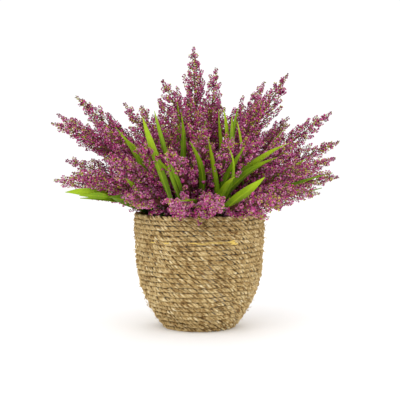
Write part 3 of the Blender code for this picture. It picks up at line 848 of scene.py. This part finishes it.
def strand_lines(look):
    """The strands' middles, wound round the rope's, with their swelling and thinning."""
    line, along = resampled(rope_line(look), look.lay / 5)
    ways = unit(np.gradient(line, axis=0))
    upward = unit(np.array([0.0, 0.0, 1.0]) - ways * ways[:, 2:3])
    outward = np.cross(ways, upward)
    draw = draws("strands")
    drift = np.cumsum(draw.normal(0, 0.1, len(line)))
    even = np.ones(5) / 5
    for number in range(STRANDS):
        swell, slip, stand = (
            np.convolve(draw.normal(0, 1, len(line) + len(even) - 1), even, "valid") for _ in range(3)
        )
        phase = -math.tau * along / look.lay + drift + 0.7 * slip + math.tau * number / STRANDS
        off = look.strand_offset * (1 + 1.2 * look.unevenness * stand)[:, None]
        places = line + off * (outward * np.cos(phase)[:, None] + upward * np.sin(phase)[:, None])
        yield places, np.clip(1 + 1.6 * look.unevenness * swell, 0.7, 1.3)


def stray_fibres(look):
    """Short loose fibres that lift off the rope and bend back."""
    draw = draws("strays")
    shares = np.linspace(0, 1, 6)
    for _ in range(look.strays):
        angle = draw.uniform(0, math.tau)
        height = draw.uniform(0.04, 0.98) * POT_HEIGHT
        turn = draw.choice([-1, 1]) * draw.uniform(0.04, 0.11)
        rise = draw.uniform(-3, 4) * MM
        lift = draw.uniform(0.8, 4.2) * MM
        heights = np.clip(height + rise * shares, 2 * MM, POT_HEIGHT - 1.0 * MM)
        bend = np.sin(shares * math.pi * draw.uniform(0.45, 1.0))
        radii = basket_radius(heights) - 0.6 * MM + lift * bend
        thickness = (1 - 0.6 * shares) * draw.uniform(0.6, 2.6)
        yield round_pot(radii, angle + turn * shares, heights), thickness


def golden_lengths():
    """A few turns of a yellow straw laid along one course at the front, and the knot it ends in."""
    draw = draws("golden")
    count = 9
    shares = np.linspace(0, 1, count)
    for first, last, size, lift in GOLDEN_LENGTHS:
        heights = (THREAD_HEIGHT + lift + np.cumsum(draw.normal(0, 0.2, count))) * MM
        radii = basket_radius(heights) + draw.normal(0.3, 0.2, count) * MM
        places = round_pot(radii, np.radians(first + (last - first) * shares), heights)
        yield places, size * np.sin(math.pi * (0.1 + 0.8 * shares))


class HEATHER_OT_basket(bpy.types.Operator):
    """Coils the twisted rope into the basket, with its loose fibres"""

    bl_idname = "heather.basket"
    bl_label = "Coil the basket"

    def execute(self, context):
        look = context.scene.heather_basket
        strands = [
            curve_object(f"strand {number}", [line], look.strand_radius, sides=6)
            for number, line in enumerate(strand_lines(look))
        ]
        line = resampled(rope_line(look), 1.0 * MM)[0]
        tree = search_tree(line)
        for number, strand in enumerate(strands):
            set_values(strand, crest=self.crests(distances(tree, point_array(strand)), look))
            stretch_map(strand, len(line) / 10, 2000 * number)
        strays = curve_object("strays", stray_fibres(look), STRAY_RADIUS)
        set_values(strays, crest=0.8)
        thread = curve_object("thread", golden_lengths(), THREAD_RADIUS, sides=6)
        set_values(thread, golden=0.9, crest=0.8)
        rope = joined("rope_basket", *strands, strays, thread)
        places = point_array(rope)
        places[:, 2] = np.maximum(places[:, 2], 0)
        rope.data.vertices.foreach_set("co", places.ravel())
        cover(rope, rope_material(look))
        smooth(rope)
        settle(rope, "basket_rope", "basket")
        return {"FINISHED"}

    @staticmethod
    def crests(apart, look):
        """A distance from the rope's middle, as 0 between the strands to 1 on their crests; the rope's
        material paints shade where it is low.
        """
        inner = CREST_FROM * look.strand_offset
        return np.clip((apart - inner) / (look.strand_offset + look.strand_radius - inner), 0, 1)


# Lining and soil


class HEATHER_OT_lining(bpy.types.Operator):
    """Gives the plastic lining its finish"""

    bl_idname = "heather.lining"
    bl_label = "Finish the lining"

    def execute(self, context):
        cover(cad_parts["liner"], lining_material(context.scene.heather_lining))
        return {"FINISHED"}


class HEATHER_OT_soil(bpy.types.Operator):
    """Finishes the soil and scatters bark crumbs and dry fibres on it"""

    bl_idname = "heather.soil"
    bl_label = "Finish the soil"

    def execute(self, context):
        look = context.scene.heather_soil
        cover(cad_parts["soil"], soil_material(look))
        draw = draws("litter")
        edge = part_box("soil")[1].x - 3 * MM
        crumbs = self.crumbs(look.crumbs, edge, draw)
        fibres = curve_object("fibres", self.fibres(look.fibres, edge, draw), 0.22 * MM)
        set_values(fibres, tint=1.0)
        litter = joined("soil_litter", crumbs, fibres)
        cover(litter, crumb_material(look))
        settle(litter, "soil")
        return {"FINISHED"}

    @staticmethod
    def crumbs(count, edge, draw):
        angle = draw.uniform(0, math.tau, count)
        radius = edge * np.sqrt(draw.uniform(0.03, 1, count))
        size = draw.uniform(1.2, 4.2, count) * MM
        height = SOIL_TOP - SOIL_CROWNING * (radius / edge) ** 2 - 0.1 * size
        ways = unit(draw.normal(0, 0.4, (count, 3)) + [0, 0, 1])
        flat = size * draw.uniform(0.35, 0.7, count)
        rolls = draw.uniform(0, math.tau, count)
        feet = round_pot(radius, angle, height)
        points, triangles = copies(taken_apart(model_crumb()), feet, ways, rolls, flat, size)
        item = mesh_of("crumbs", points, triangles)
        set_values(item, tint=np.repeat(draw.uniform(0, 0.95, count), len(points) // count))
        return item

    @staticmethod
    def fibres(count, edge, draw):
        shares = np.linspace(0, 1, 7)
        for _ in range(count):
            angles = draw.uniform(0, math.tau) + shares * draw.uniform(-0.4, 0.4)
            radii = edge * draw.uniform(0.3, 0.97) + shares * draw.uniform(-9, 5) * MM
            heights = SOIL_TOP - 1.5 * MM + np.sin(shares * math.pi) * draw.uniform(1, 4) * MM
            yield round_pot(np.minimum(radii, edge), angles, heights), 1 - 0.5 * shares


# Stems and flower sprays


class Axis:
    """The curved stalk of one flower head, as points with their distance along it."""

    def __init__(self, controls, start=0.0, end=1.0):
        self.controls = controls
        share = np.linspace(start, end, STALK_STEPS + 1)[:, None]
        self.points = arc([np.array(point) for point in controls], share)
        self.ways = unit(np.gradient(self.points, axis=0))
        self.side, self.across = frame_round(self.ways)
        self.along = run_along(self.points)
        self.length = self.along[-1]

    def at(self, distance):
        return places_on(self.points, self.along, distance)

    def before(self, distance):
        """A place on the stalk, or on its straight run back from the head's foot."""
        return self.at(max(0.0, distance)) + self.ways[0] * min(0.0, distance)

    def index(self, distance):
        return np.searchsorted(self.along, distance).clip(0, STALK_STEPS)

    def outward(self, distance, angle):
        index = self.index(distance)
        return self.side[index] * math.cos(angle) + self.across[index] * math.sin(angle)

    def nearest(self, places):
        """For each place, its distance from the stalk and how far along the stalk that is."""
        apart = np.linalg.norm(places[:, None] - self.points[None], axis=2)
        return apart.min(axis=1), self.along[apart.argmin(axis=1)]

    def learn(self, places, radii, alongs):
        """Keeps where the prongs of the solid stand out, and how far."""
        index = self.index(alongs)
        out = places - self.points[index]
        rise, run = (out * self.across[index]).sum(axis=1), (out * self.side[index]).sum(axis=1)
        self.prongs = alongs, np.arctan2(rise, run), radii

    def girth(self, along, angle=None):
        """How far the solid's prongs stand out near a place on the stalk, on one side or all round."""
        alongs, angles, radii = self.prongs
        apart = ((alongs - along) / PRONG_NEAR) ** 2
        if angle is not None:
            apart = apart + (np.angle(np.exp(1j * (angles - angle))) / PRONG_NEAR_ROUND) ** 2
        weight = np.exp(-apart) + 1e-9
        return (weight * radii).sum() / weight.sum()

    def nearest_ring(self, along):
        alongs = self.prongs[0]
        return alongs[np.abs(alongs - along).argmin()]


def controls_to(start, tip):
    """The curve by which a head's stalk rises from its start and falls to its tip."""
    offset = tip - AIM
    lift = SPRAY_LIFT if offset.z >= 0 else DROOPING_LIFT
    steepness = offset.z / offset.length
    return start, (start + tip) / 2 + Vector((0, 0, lift * (1 - steepness**2))), tip


def head_share(controls):
    """How far along its stalk a head begins."""
    shares = (number / 200 for number in range(1, 200))
    return next(share for share in shares if (arc(controls, share) - HEART).length >= HEAD_START)


def head_axes(tips):
    """The stalks of one or two heads: the first from the heart, the other from a fork in it."""
    controls = controls_to(HEART, tips[0])
    start = head_share(controls)
    fork = arc(controls, start + FORK_AT * (1 - start))
    return [Axis(controls, start), *(Axis(controls_to(fork, tip)) for tip in tips[1:])]


def spray_axes(node):
    """The stalks that a spray's solid was made on, with how far its prongs stand out round them."""
    guide = welded(node)
    tips = [vertex.co.copy() for vertex in guide.verts if is_tip(vertex)]
    tips.sort(key=lambda tip: -(tip - HEART).length)
    if not tips:
        raise RuntimeError(f"no tip was found on {node.name}")
    places = np.array([vertex.co[:] for vertex in guide.verts])
    orders = [tips] if len(tips) == 1 else [tips, tips[::-1]]
    found = [[(axis, *axis.nearest(places)) for axis in head_axes(order)] for order in orders]
    best = min(found, key=lambda rows: np.min([apart for _, apart, _ in rows], axis=0).sum())
    aparts = [apart for _, apart, _ in best]
    owner, radius = np.argmin(aparts, axis=0), np.min(aparts, axis=0)
    around = np.array([
        np.mean([radius[edge.other_vert(vertex).index] for edge in vertex.link_edges])
        for vertex in guide.verts
    ])
    guide.free()
    for number, (axis, _, far) in enumerate(best):
        prongs = (owner == number) & (radius > PRONG_RISE * around)
        axis.learn(places[prongs], radius[prongs], far[prongs])
    return [axis for axis, _, _ in best]


def is_tip(vertex):
    far = (vertex.co - HEART).length
    nearer = all((edge.other_vert(vertex).co - HEART).length < far for edge in vertex.link_edges)
    return nearer and len(vertex.link_edges) == HEAD_SIDES


class Growth:
    """The florets, twigs and cores gathered for one spray."""

    def __init__(self, look, number):
        self.look = look
        self.draw = draws("sprays", number)
        self.rows = []
        self.lines = []
        self.cores = []

    def florets_along(self, line, ease, spread, axis, girth, tone, body):
        """Florets in a spiral round a twig, from where it leaves the stalk to its end."""
        draw, look = self.draw, self.look
        along = run_along(line)
        whole = along[-1]
        count = max(2, int(round((whole - ease) * look.density / MM)))
        order = np.arange(count)
        distance = ease + (whole - ease) * (order + draw.uniform(0.2, 0.8, count)) / count
        middle, ahead, behind = (places_on(line, along, distance + step) for step in (0, MM, -MM))
        forward = unit(ahead - behind)
        side, across = frame_round(forward)
        turn = (draw.uniform(0, math.tau) + GOLDEN_ANGLE * order + draw.normal(0, 0.25, count))[:, None]
        outward = side * np.cos(turn) + across * np.sin(turn)
        share = distance / whole
        way = outward * (spread * (1 - 0.5 * share))[:, None] + forward * draw.uniform(0.3, 0.8, (count, 1))
        way = unit(way + draw.normal(0, 0.15, (count, 3)))
        bud = draw.random(count) < np.where(order >= count - 2, 0.75, look.buds)
        chance = draw.random(count)
        size = look.floret * draw.uniform(0.75, 1.15, count) * (1 - 0.25 * share) * np.where(bud, 0.85, 1.0)
        rounded = np.sqrt(1 - ((distance - ease) / (whole - ease)) ** 2)
        off = 0.4 * MM + (body - 0.4 * MM) * rounded * draw.uniform(0.6, 1, count)
        place = middle + outward * off[:, None]
        apart, far = axis.nearest(place)
        green = bud & (chance < look.green_buds * (0.35 + 1.1 * far / axis.length))
        tint = tone + draw.normal(0, 0.27, count)
        # How far out of the head a floret stands, from which the floret material paints shade deep in the
        # head.
        depth = np.clip(apart / girth, 0, 1)
        self.rows.append(np.column_stack([place, way, size, tint, depth, bud, green]))

    def grow_head(self, axis):
        """One head: side twigs in a spiral up the stalk, longer spikes among them, and a slim spire."""
        rise = Vector(axis.points[-1]) - AIM
        # Drooping heads are painted lighter and upright ones darker: painted light and shade by the way a
        # head points. The random part is each head's own tone.
        tone = 0.57 - 0.17 * rise.z / rise.length + self.draw.normal(0, 0.06)
        stalk = axis.points[::10]
        self.lines.append((stalk, np.linspace(2.4, 0.6, len(stalk))))
        angle = self.grow_twigs(axis, tone)
        self.grow_spikes(axis, tone, angle)
        top = SPIRE_FROM * axis.length
        spire = bent_line(5, *(axis.at(far) for far in (top, (top + axis.length) / 2, axis.length)))
        self.florets_along(spire, 0.0, 0.8, axis, 2 * MM, tone + 0.2, 1.4 * MM)
        along = axis.along[::8]
        girths = np.array([axis.girth(far) for far in along])
        taper = (1 - along / axis.length) ** CORE_POWER
        self.cores.append((axis.points[::8], np.maximum(0.1, CORE_SHARE * girths / MM * taper)))

    def grow_twigs(self, axis, tone):
        """Short side twigs that gather in knots towards the head's end, and the last one's angle."""
        draw, look = self.draw, self.look
        count = int(axis.length / look.twig_spacing)
        angle = draw.uniform(0, math.tau)
        for number in range(count):
            angle += GOLDEN_ANGLE + draw.normal(0, 0.12)
            along = axis.length * (TWIG_SPAN[0] + TWIG_SPAN[1] * (number + draw.uniform(0.2, 0.8)) / count)
            share = along / axis.length
            if share > look.knots_from:
                pull = KNOT_PULL * (share - look.knots_from) / (1 - look.knots_from)
                along += pull * (axis.nearest_ring(along) - along)
            girth = axis.girth(along, angle)
            reach = girth * look.fullness * (1.22 - 0.26 * share) * draw.uniform(0.76, 1.1)
            out = axis.outward(along, angle)
            root = axis.before(along - reach * look.lean)
            bend = axis.before(along - 0.55 * look.lean * reach) + out * reach * 0.55
            twig = bent_line(6, root, bend, axis.at(along) + out * (reach - 0.7 * MM))
            self.lines.append((twig[::2], TWIG_TAPER))
            ease = (0.5 if share < 0.5 else 0.35) * (reach * math.hypot(1, look.lean))
            self.florets_along(twig, ease, 1.0, axis, girth, tone + 0.14 * share, 1.2 * MM)
        return angle

    def grow_spikes(self, axis, tone, angle):
        """A few long side spikes that break the head's outline."""
        draw = self.draw
        count = max(3, int(0.7 * axis.length / self.look.spike_spacing))
        for number in range(count):
            angle += GOLDEN_ANGLE
            step = (number + draw.uniform(0.1, 0.9)) / count
            along = axis.length * (SPIKE_SPAN[0] + SPIKE_SPAN[1] * step)
            girth = axis.girth(along, angle)
            reach = girth * draw.uniform(1.0, 1.5)
            run = reach * draw.uniform(1.4, 2.4)
            out = axis.outward(along, angle)
            bend = axis.before(along + 0.2 * run) + out * reach * 0.8
            end = axis.at(min(along + run, 0.96 * axis.length)) + out * reach
            spike = bent_line(9, axis.before(along - reach), bend, end)
            self.lines.append((spike[::2], SPIKE_TAPER))
            self.florets_along(spike, 0.35 * (run + reach), 0.9, axis, girth, tone + 0.1, 2.2 * MM)


class HEATHER_OT_sprays(bpy.types.Operator):
    """Grows the flower sprays: side twigs round each stalk, out to the solid's prongs, set with florets"""

    bl_idname = "heather.sprays"
    bl_label = "Grow the sprays"

    def execute(self, context):
        look = context.scene.heather_sprays
        forms = [taken_apart(model_cup(*form)) for form in (FLORET_FORM, BUD_FORM)]
        petals, twigs = floret_material(look), twig_material(look)
        blades = self.blade_tree()
        for number, name in enumerate(nodes_named("spray_")):
            growth = Growth(look, number)
            for axis in spray_axes(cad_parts[name]):
                growth.grow_head(axis)
            rows = np.concatenate(growth.rows)
            clear = distances(blades, rows[:, :3]) > FLORET_CLEARANCE * look.floret
            parts = self.florets(rows[clear & (rows[:, DEPTH] > LEAST_DEPTH)], forms, growth.draw)
            cores = curve_object("cores", growth.cores, 1.0 * MM, sides=6)
            # The cores take the florets' colours at depth 0.4, which paints them partly in shade, as a dark
            # fill in the head's middle.
            set_values(cores, tint=0.3, depth=0.4, bud=0.35)
            stalks = curve_object("stalks", growth.lines, WOOD_RADIUS, caps=False)
            for part, material in zip((*parts, cores, stalks), (petals, petals, petals, twigs)):
                cover(part, material)
            settle(joined(f"heather_{name}", *parts, cores, stalks), "floret", name)
        return {"FINISHED"}

    @staticmethod
    def blade_tree():
        """A search tree over the upper part of the leaf blades, which the florets leave free."""
        places = []
        for name in nodes_named("leaf_tuft_"):
            for curve, sides in tuft_blades(name):
                for share, side in zip(BARE_SHARES, smooth_between(BARE_SHARES, sides)):
                    places += [cubic(curve, share) + side * across for across in ACROSS_BLADE]
        return search_tree(places)

    @staticmethod
    def florets(rows, forms, draw):
        """The open florets and the closed buds, each as one mesh."""
        items = []
        for closed, (form, width) in enumerate(zip(forms, FLORET_WIDTHS)):
            some = rows[rows[:, CLOSED] == closed]
            place, way, size = some[:, :3], some[:, 3:6], some[:, SIZE]
            rolls = draw.uniform(0, math.tau, len(some))
            item = mesh_of("florets", *copies(form, place, way, rolls, size, size * width))
            tint, depth, bud = (np.repeat(some[:, column], len(form[0])) for column in (TINT, DEPTH, GREEN))
            # Each point's height in its floret, from which the material paints shade at the foot and a
            # highlight at the lip.
            set_values(item, lip=np.tile(form[0][:, 2], len(some)), tint=tint, depth=depth, bud=bud)
            items.append(item)
        return items


class HEATHER_OT_stems(bpy.types.Operator):
    """Grows the stems from a gnarled crown to the foot of each flower head"""

    bl_idname = "heather.stems"
    bl_label = "Grow the stems"

    def execute(self, context):
        look = context.scene.heather_stems
        draw = draws("stems")
        lines = []
        for name in nodes_named("spray_"):
            controls = spray_axes(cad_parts[name])[0].controls
            line = Axis(controls, 0.0, head_share(controls)).points[::8].copy()
            line[1:-1] += draw.normal(0, 0.25 * MM, line[1:-1].shape)
            lines.append((line, np.linspace(1, look.top_radius / look.foot_radius, len(line))))
        stems = curve_object("tubes", lines, look.foot_radius, sides=6)
        far = np.linalg.norm(point_array(stems) - np.array(HEART), axis=1)
        set_values(stems, age=np.clip(1.2 - far / BARK_LENGTH, 0, 1))
        piece = joined("stems_and_crown", stems, self.crown())
        cover(piece, stem_material(look))
        smooth(piece)
        settle(piece, "stem", "stems")
        return {"FINISHED"}

    @staticmethod
    def crown():
        """A sphere with lobes that widens towards the soil."""
        crown = added(
            bpy.ops.mesh.primitive_uv_sphere_add, segments=28, ring_count=14, radius=CROWN_RADIUS,
            location=(0, 0, SOIL_TOP),
        )
        for vertex in crown.data.vertices:
            x, y, z = vertex.co - Vector((0, 0, SOIL_TOP))
            angle = math.atan2(y, x)
            lobes = 1 + 0.1 * math.sin(5 * angle) + 0.07 * math.sin(9 * angle + 6 * z / MM)
            wide = lobes * (1 + 0.25 * max(0.0, -z / CROWN_RADIUS))
            vertex.co = Vector((x * wide, y * wide, z * 1.05 + SOIL_TOP))
        set_values(crown, age=1.0)
        return crown


# Leaves


def blade_stations(node):
    """The blades' foot, and each blade's stations, tip first: the four corners of its section.

    The four points at a tip are joined by short edges, and each next ring of four is a station."""
    guide = welded(node)
    buried = np.array([vertex.co[:] for vertex in guide.verts if vertex.co.z < SOIL_TOP])
    foot = np.array([*buried[:, :2].mean(axis=0), SOIL_TOP - FOOT_DEPTH])
    blades = []
    used = set()
    for vertex in sorted(guide.verts, key=lambda vertex: -(vertex.co - Vector(foot)).length):
        tip = short_reach(vertex)
        if len(tip) != 4 or tip & used or vertex.co.z < SOIL_TOP + BLADE_TIPS_ABOVE:
            continue
        stations, seen = [tip], set(tip)
        while True:
            after = {edge.other_vert(point) for point in stations[-1] for edge in point.link_edges} - seen
            if len(after) != 4 or min(point.co.z for point in after) < SOIL_TOP + BLADES_ABOVE:
                break
            seen |= after
            stations.append(after)
        if len(stations) > 2:
            used |= seen
            blades.append([np.array(sorted(point.co[:] for point in station)) for station in stations])
    guide.free()
    if not blades:
        raise RuntimeError(f"no blade was found in {node.name}")
    return foot, blades


def short_reach(vertex):
    """The points that short edges join to this one."""
    found, fresh = {vertex}, [vertex]
    while fresh:
        point = fresh.pop()
        near = {edge.other_vert(point) for edge in point.link_edges if edge.calc_length() < TIP_EDGE}
        fresh += near - found
        found |= near
    return found


def station_side(corners, sides):
    """From a section's middle to its edge, on the same side as in the sections before it."""
    pairs = ((0, 1, 2, 3), (0, 2, 1, 3), (0, 3, 1, 2))
    spans = [(corners[i] + corners[j] - corners[k] - corners[m]) / 4 for i, j, k, m in pairs]
    side = max(spans, key=np.linalg.norm)
    return -side if sides and side @ sides[-1] < 0 else side


def smooth_between(share, rows):
    """A smooth curve through evenly spaced rows of numbers."""
    last = len(rows) - 1
    place = np.clip(share * last, 0, last - 1e-9)
    index = place.astype(int)
    part = (place - index)[:, None]
    padded = np.concatenate([[2 * rows[0] - rows[1]], rows, [2 * rows[-1] - rows[-2]]])
    a, b, c, d = (padded[index + k] for k in range(4))
    bends = (2 * a - 5 * b + 4 * c - d) * part**2 + (3 * b - a - 3 * c + d) * part**3
    return 0.5 * (2 * b + (c - a) * part + bends)


def cubic(curve, share):
    """Places on the curve with a start, two bends and an end."""
    return arc(curve[:3], share) * (1 - share) + arc(curve[1:], share) * share


def way_on(curve, share):
    """The direction of such a curve."""
    return unit(arc([after - before for before, after in zip(curve, curve[1:])], share))


def blade_lines(foot, stations):
    """A blade's curve and half widths from its foot to its tip, in even steps of the solid's rule."""
    middles = [corners.mean(axis=0) for corners in stations]
    sides = []
    for corners in stations:
        sides.append(station_side(corners, sides))
    tip = middles[0]
    share = ((BLADE_SEGMENTS - np.arange(1, len(stations))) / BLADE_SEGMENTS)[:, None]
    known = np.array(middles[1:]) - foot * (1 - share) ** 3 - tip * share**3
    pull = np.hstack([3 * share * (1 - share) ** 2, 3 * share**2 * (1 - share)])
    bends = np.linalg.lstsq(pull, known, rcond=None)[0]
    while len(sides) < BLADE_SEGMENTS + 1:
        sides.append(sides[-1] * 0.8)
    return (foot, *bends, tip), np.array(sides[::-1])


def young_blade(foot, passed, tip, width, number):
    """A blade's curve and half widths: it rises from its tuft, then arches through a place to its tip."""
    passed, tip = np.array(passed) * MM, np.array(tip) * MM
    turn = 2.4 * number
    foot = foot + np.array([math.cos(turn), math.sin(turn), 0]) * YOUNG_FOOT
    runs = np.linalg.norm(passed - foot), np.linalg.norm(tip - passed)
    share = runs[0] / sum(runs)
    rise = foot + unit((passed - foot) * [1, 1, 0]) * BLADE_LEAN + [0, 0, BLADE_RISE]
    known = foot * (1 - share) ** 3 + 3 * rise * share * (1 - share) ** 2 + tip * share**3
    curve = (foot, rise, (passed - known) / (3 * share**2 * (1 - share)), tip)
    ways = way_on(curve, np.linspace(0, 1, len(YOUNG_PROFILE))[:, None])
    outward = unit(passed - np.array(HEART))
    return curve, unit(np.cross(outward, ways)) * np.array(YOUNG_PROFILE)[:, None] * width * MM / 2


def tuft_blades(name):
    """Every blade of a tuft as its curve and half widths: those of its solid, then the young ones."""
    foot, blades = blade_stations(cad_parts[name])
    found = [blade_lines(foot, stations) for stations in blades]
    for number, (tuft, *rest) in enumerate(YOUNG_BLADES):
        if name.endswith(f"{tuft:02d}"):
            found.append(young_blade(foot, *rest, number))
    return found


def shape_blade(item, curve, sides, fold, draw):
    """Carries a flat strap onto a blade's curve, folded on its midrib and a little waved."""
    flat = point_array(item)
    across, share = 2 * flat[:, 0], np.clip(flat[:, 1], 0, 1)
    way = way_on(curve, share[:, None])
    side = smooth_between(share, sides)
    side -= way * (side * way).sum(axis=1, keepdims=True)
    half = np.linalg.norm(side, axis=1, keepdims=True)
    normal = np.cross(way, side / half)
    if normal[:, 2].mean() < 0:
        normal = -normal
    wave = 0.05 * np.sin(share * draw.uniform(9, 14) + draw.uniform(0, 6)) * across
    rise = 2 * fold * (np.abs(across) ** 1.2 - 0.5) * (1 - 0.6 * share) + wave
    shaped = cubic(curve, share[:, None]) + side * across[:, None] + normal * half * rise[:, None]
    item.data.vertices.foreach_set("co", shaped.ravel())
    item.data.update()


class HEATHER_OT_leaves(bpy.types.Operator):
    """Draws each leaf blade smooth along its solid, folded on its midrib"""

    bl_idname = "heather.leaves"
    bl_label = "Draw the leaves"

    def execute(self, context):
        look = context.scene.heather_leaves
        material = leaf_material(look)
        columns, rows = BLADE_GRID
        strap = added(
            bpy.ops.mesh.primitive_grid_add, x_subdivisions=columns, y_subdivisions=rows, size=1,
            location=(0, 0.5, 0),
        )
        for number, name in enumerate(nodes_named("leaf_tuft_")):
            draw = draws("tufts", number)
            items = []
            for curve, sides in tuft_blades(name):
                item = linked("blade", strap.data.copy())
                shape_blade(item, curve, sides, look.fold, draw)
                set_values(item, tint=draw.uniform(0, 1))
                items.append(item)
            tuft = joined(f"blades_{name}", *items)
            wall = tuft.modifiers.new("wall", "SOLIDIFY")
            wall.thickness = look.thickness
            wall.offset = 0
            bpy.ops.object.modifier_apply(modifier=wall.name)
            cover(tuft, material)
            smooth(tuft, 60)
            settle(tuft, "leaf", name)
        delete(strap)
        return {"FINISHED"}


# Stage


class HEATHER_OT_stage(bpy.types.Operator):
    """Sets the pale floor, the soft light and the camera"""

    bl_idname = "heather.stage"
    bl_label = "Set the stage"

    def execute(self, context):
        look = context.scene.heather_stage
        floor = added(bpy.ops.mesh.primitive_plane_add, size=16)
        floor.name = "floor"
        shader = Shader("pale floor")
        mottle = shader.noise(shader.place(), 3.0)
        roughness = mottle.between(0.0, 1.0, 0.85, 0.95)
        cover(floor, shader.finish(look.floor, roughness, gloss=0.0))
        floor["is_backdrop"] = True
        world = bpy.data.worlds.new("soft white room")
        context.scene.world = world
        world.use_nodes = True
        background = world.node_tree.nodes["Background"].inputs
        background["Color"].default_value = (1, 1, 1, 1)
        background["Strength"].default_value = ROOM_LIGHT
        for light in LIGHTS:
            self.add_light(*light)
        camera = bpy.data.cameras.new("camera")
        camera.lens = look.lens
        camera.sensor_width = FILM_WIDTH
        camera.clip_start = 0.01
        item = linked("camera", camera)
        item.location = (CAMERA_ASIDE, -look.camera_distance, look.camera_height)
        item.rotation_euler = (math.pi / 2 - look.camera_tilt, 0, 0)
        context.scene.camera = item
        context.scene.view_settings.view_transform = "Standard"
        return {"FINISHED"}

    @staticmethod
    def add_light(name, place, size, watts):
        light = bpy.data.lights.new(name, "AREA")
        light.shape = "DISK"
        light.size = size
        light.energy = watts
        item = linked(name, light)
        item.location = place
        item.rotation_euler = (LIT_PLACE - Vector(place)).to_track_quat("-Z", "Y").to_euler()


class HEATHER_PT_pieces(bpy.types.Panel):
    """The heather's pieces and their settings"""

    bl_label = "Potted heather"
    bl_idname = "HEATHER_PT_pieces"
    bl_space_type = "VIEW_3D"
    bl_region_type = "UI"
    bl_category = "Heather"

    def draw(self, context):
        for operator, settings, _ in STEPS:
            box = self.layout.box()
            box.operator(operator.bl_idname)
            group = getattr(context.scene, settings)
            for key in group.bl_rna.properties.keys():
                if key not in ("rna_type", "name"):
                    box.prop(group, key)


STEPS = (
    (HEATHER_OT_stage, "heather_stage", StageSettings),
    (HEATHER_OT_basket, "heather_basket", BasketSettings),
    (HEATHER_OT_lining, "heather_lining", LiningSettings),
    (HEATHER_OT_soil, "heather_soil", SoilSettings),
    (HEATHER_OT_stems, "heather_stems", StemSettings),
    (HEATHER_OT_sprays, "heather_sprays", SpraySettings),
    (HEATHER_OT_leaves, "heather_leaves", LeafSettings),
)


def register():
    for operator, name, settings in STEPS:
        bpy.utils.register_class(settings)
        bpy.utils.register_class(operator)
        setattr(bpy.types.Scene, name, PointerProperty(type=settings))
    bpy.utils.register_class(HEATHER_PT_pieces)


def unregister():
    bpy.utils.unregister_class(HEATHER_PT_pieces)
    for operator, name, settings in reversed(STEPS):
        delattr(bpy.types.Scene, name)
        bpy.utils.unregister_class(operator)
        bpy.utils.unregister_class(settings)


def main():
    register()
    for operator, _, _ in STEPS:
        group, name = operator.bl_idname.split(".")
        getattr(getattr(bpy.ops, group), name)()
    boxes = [[list(corner) for corner in box] for box in (CAD_BOX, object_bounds())]


if __name__ == "__main__":
    main()
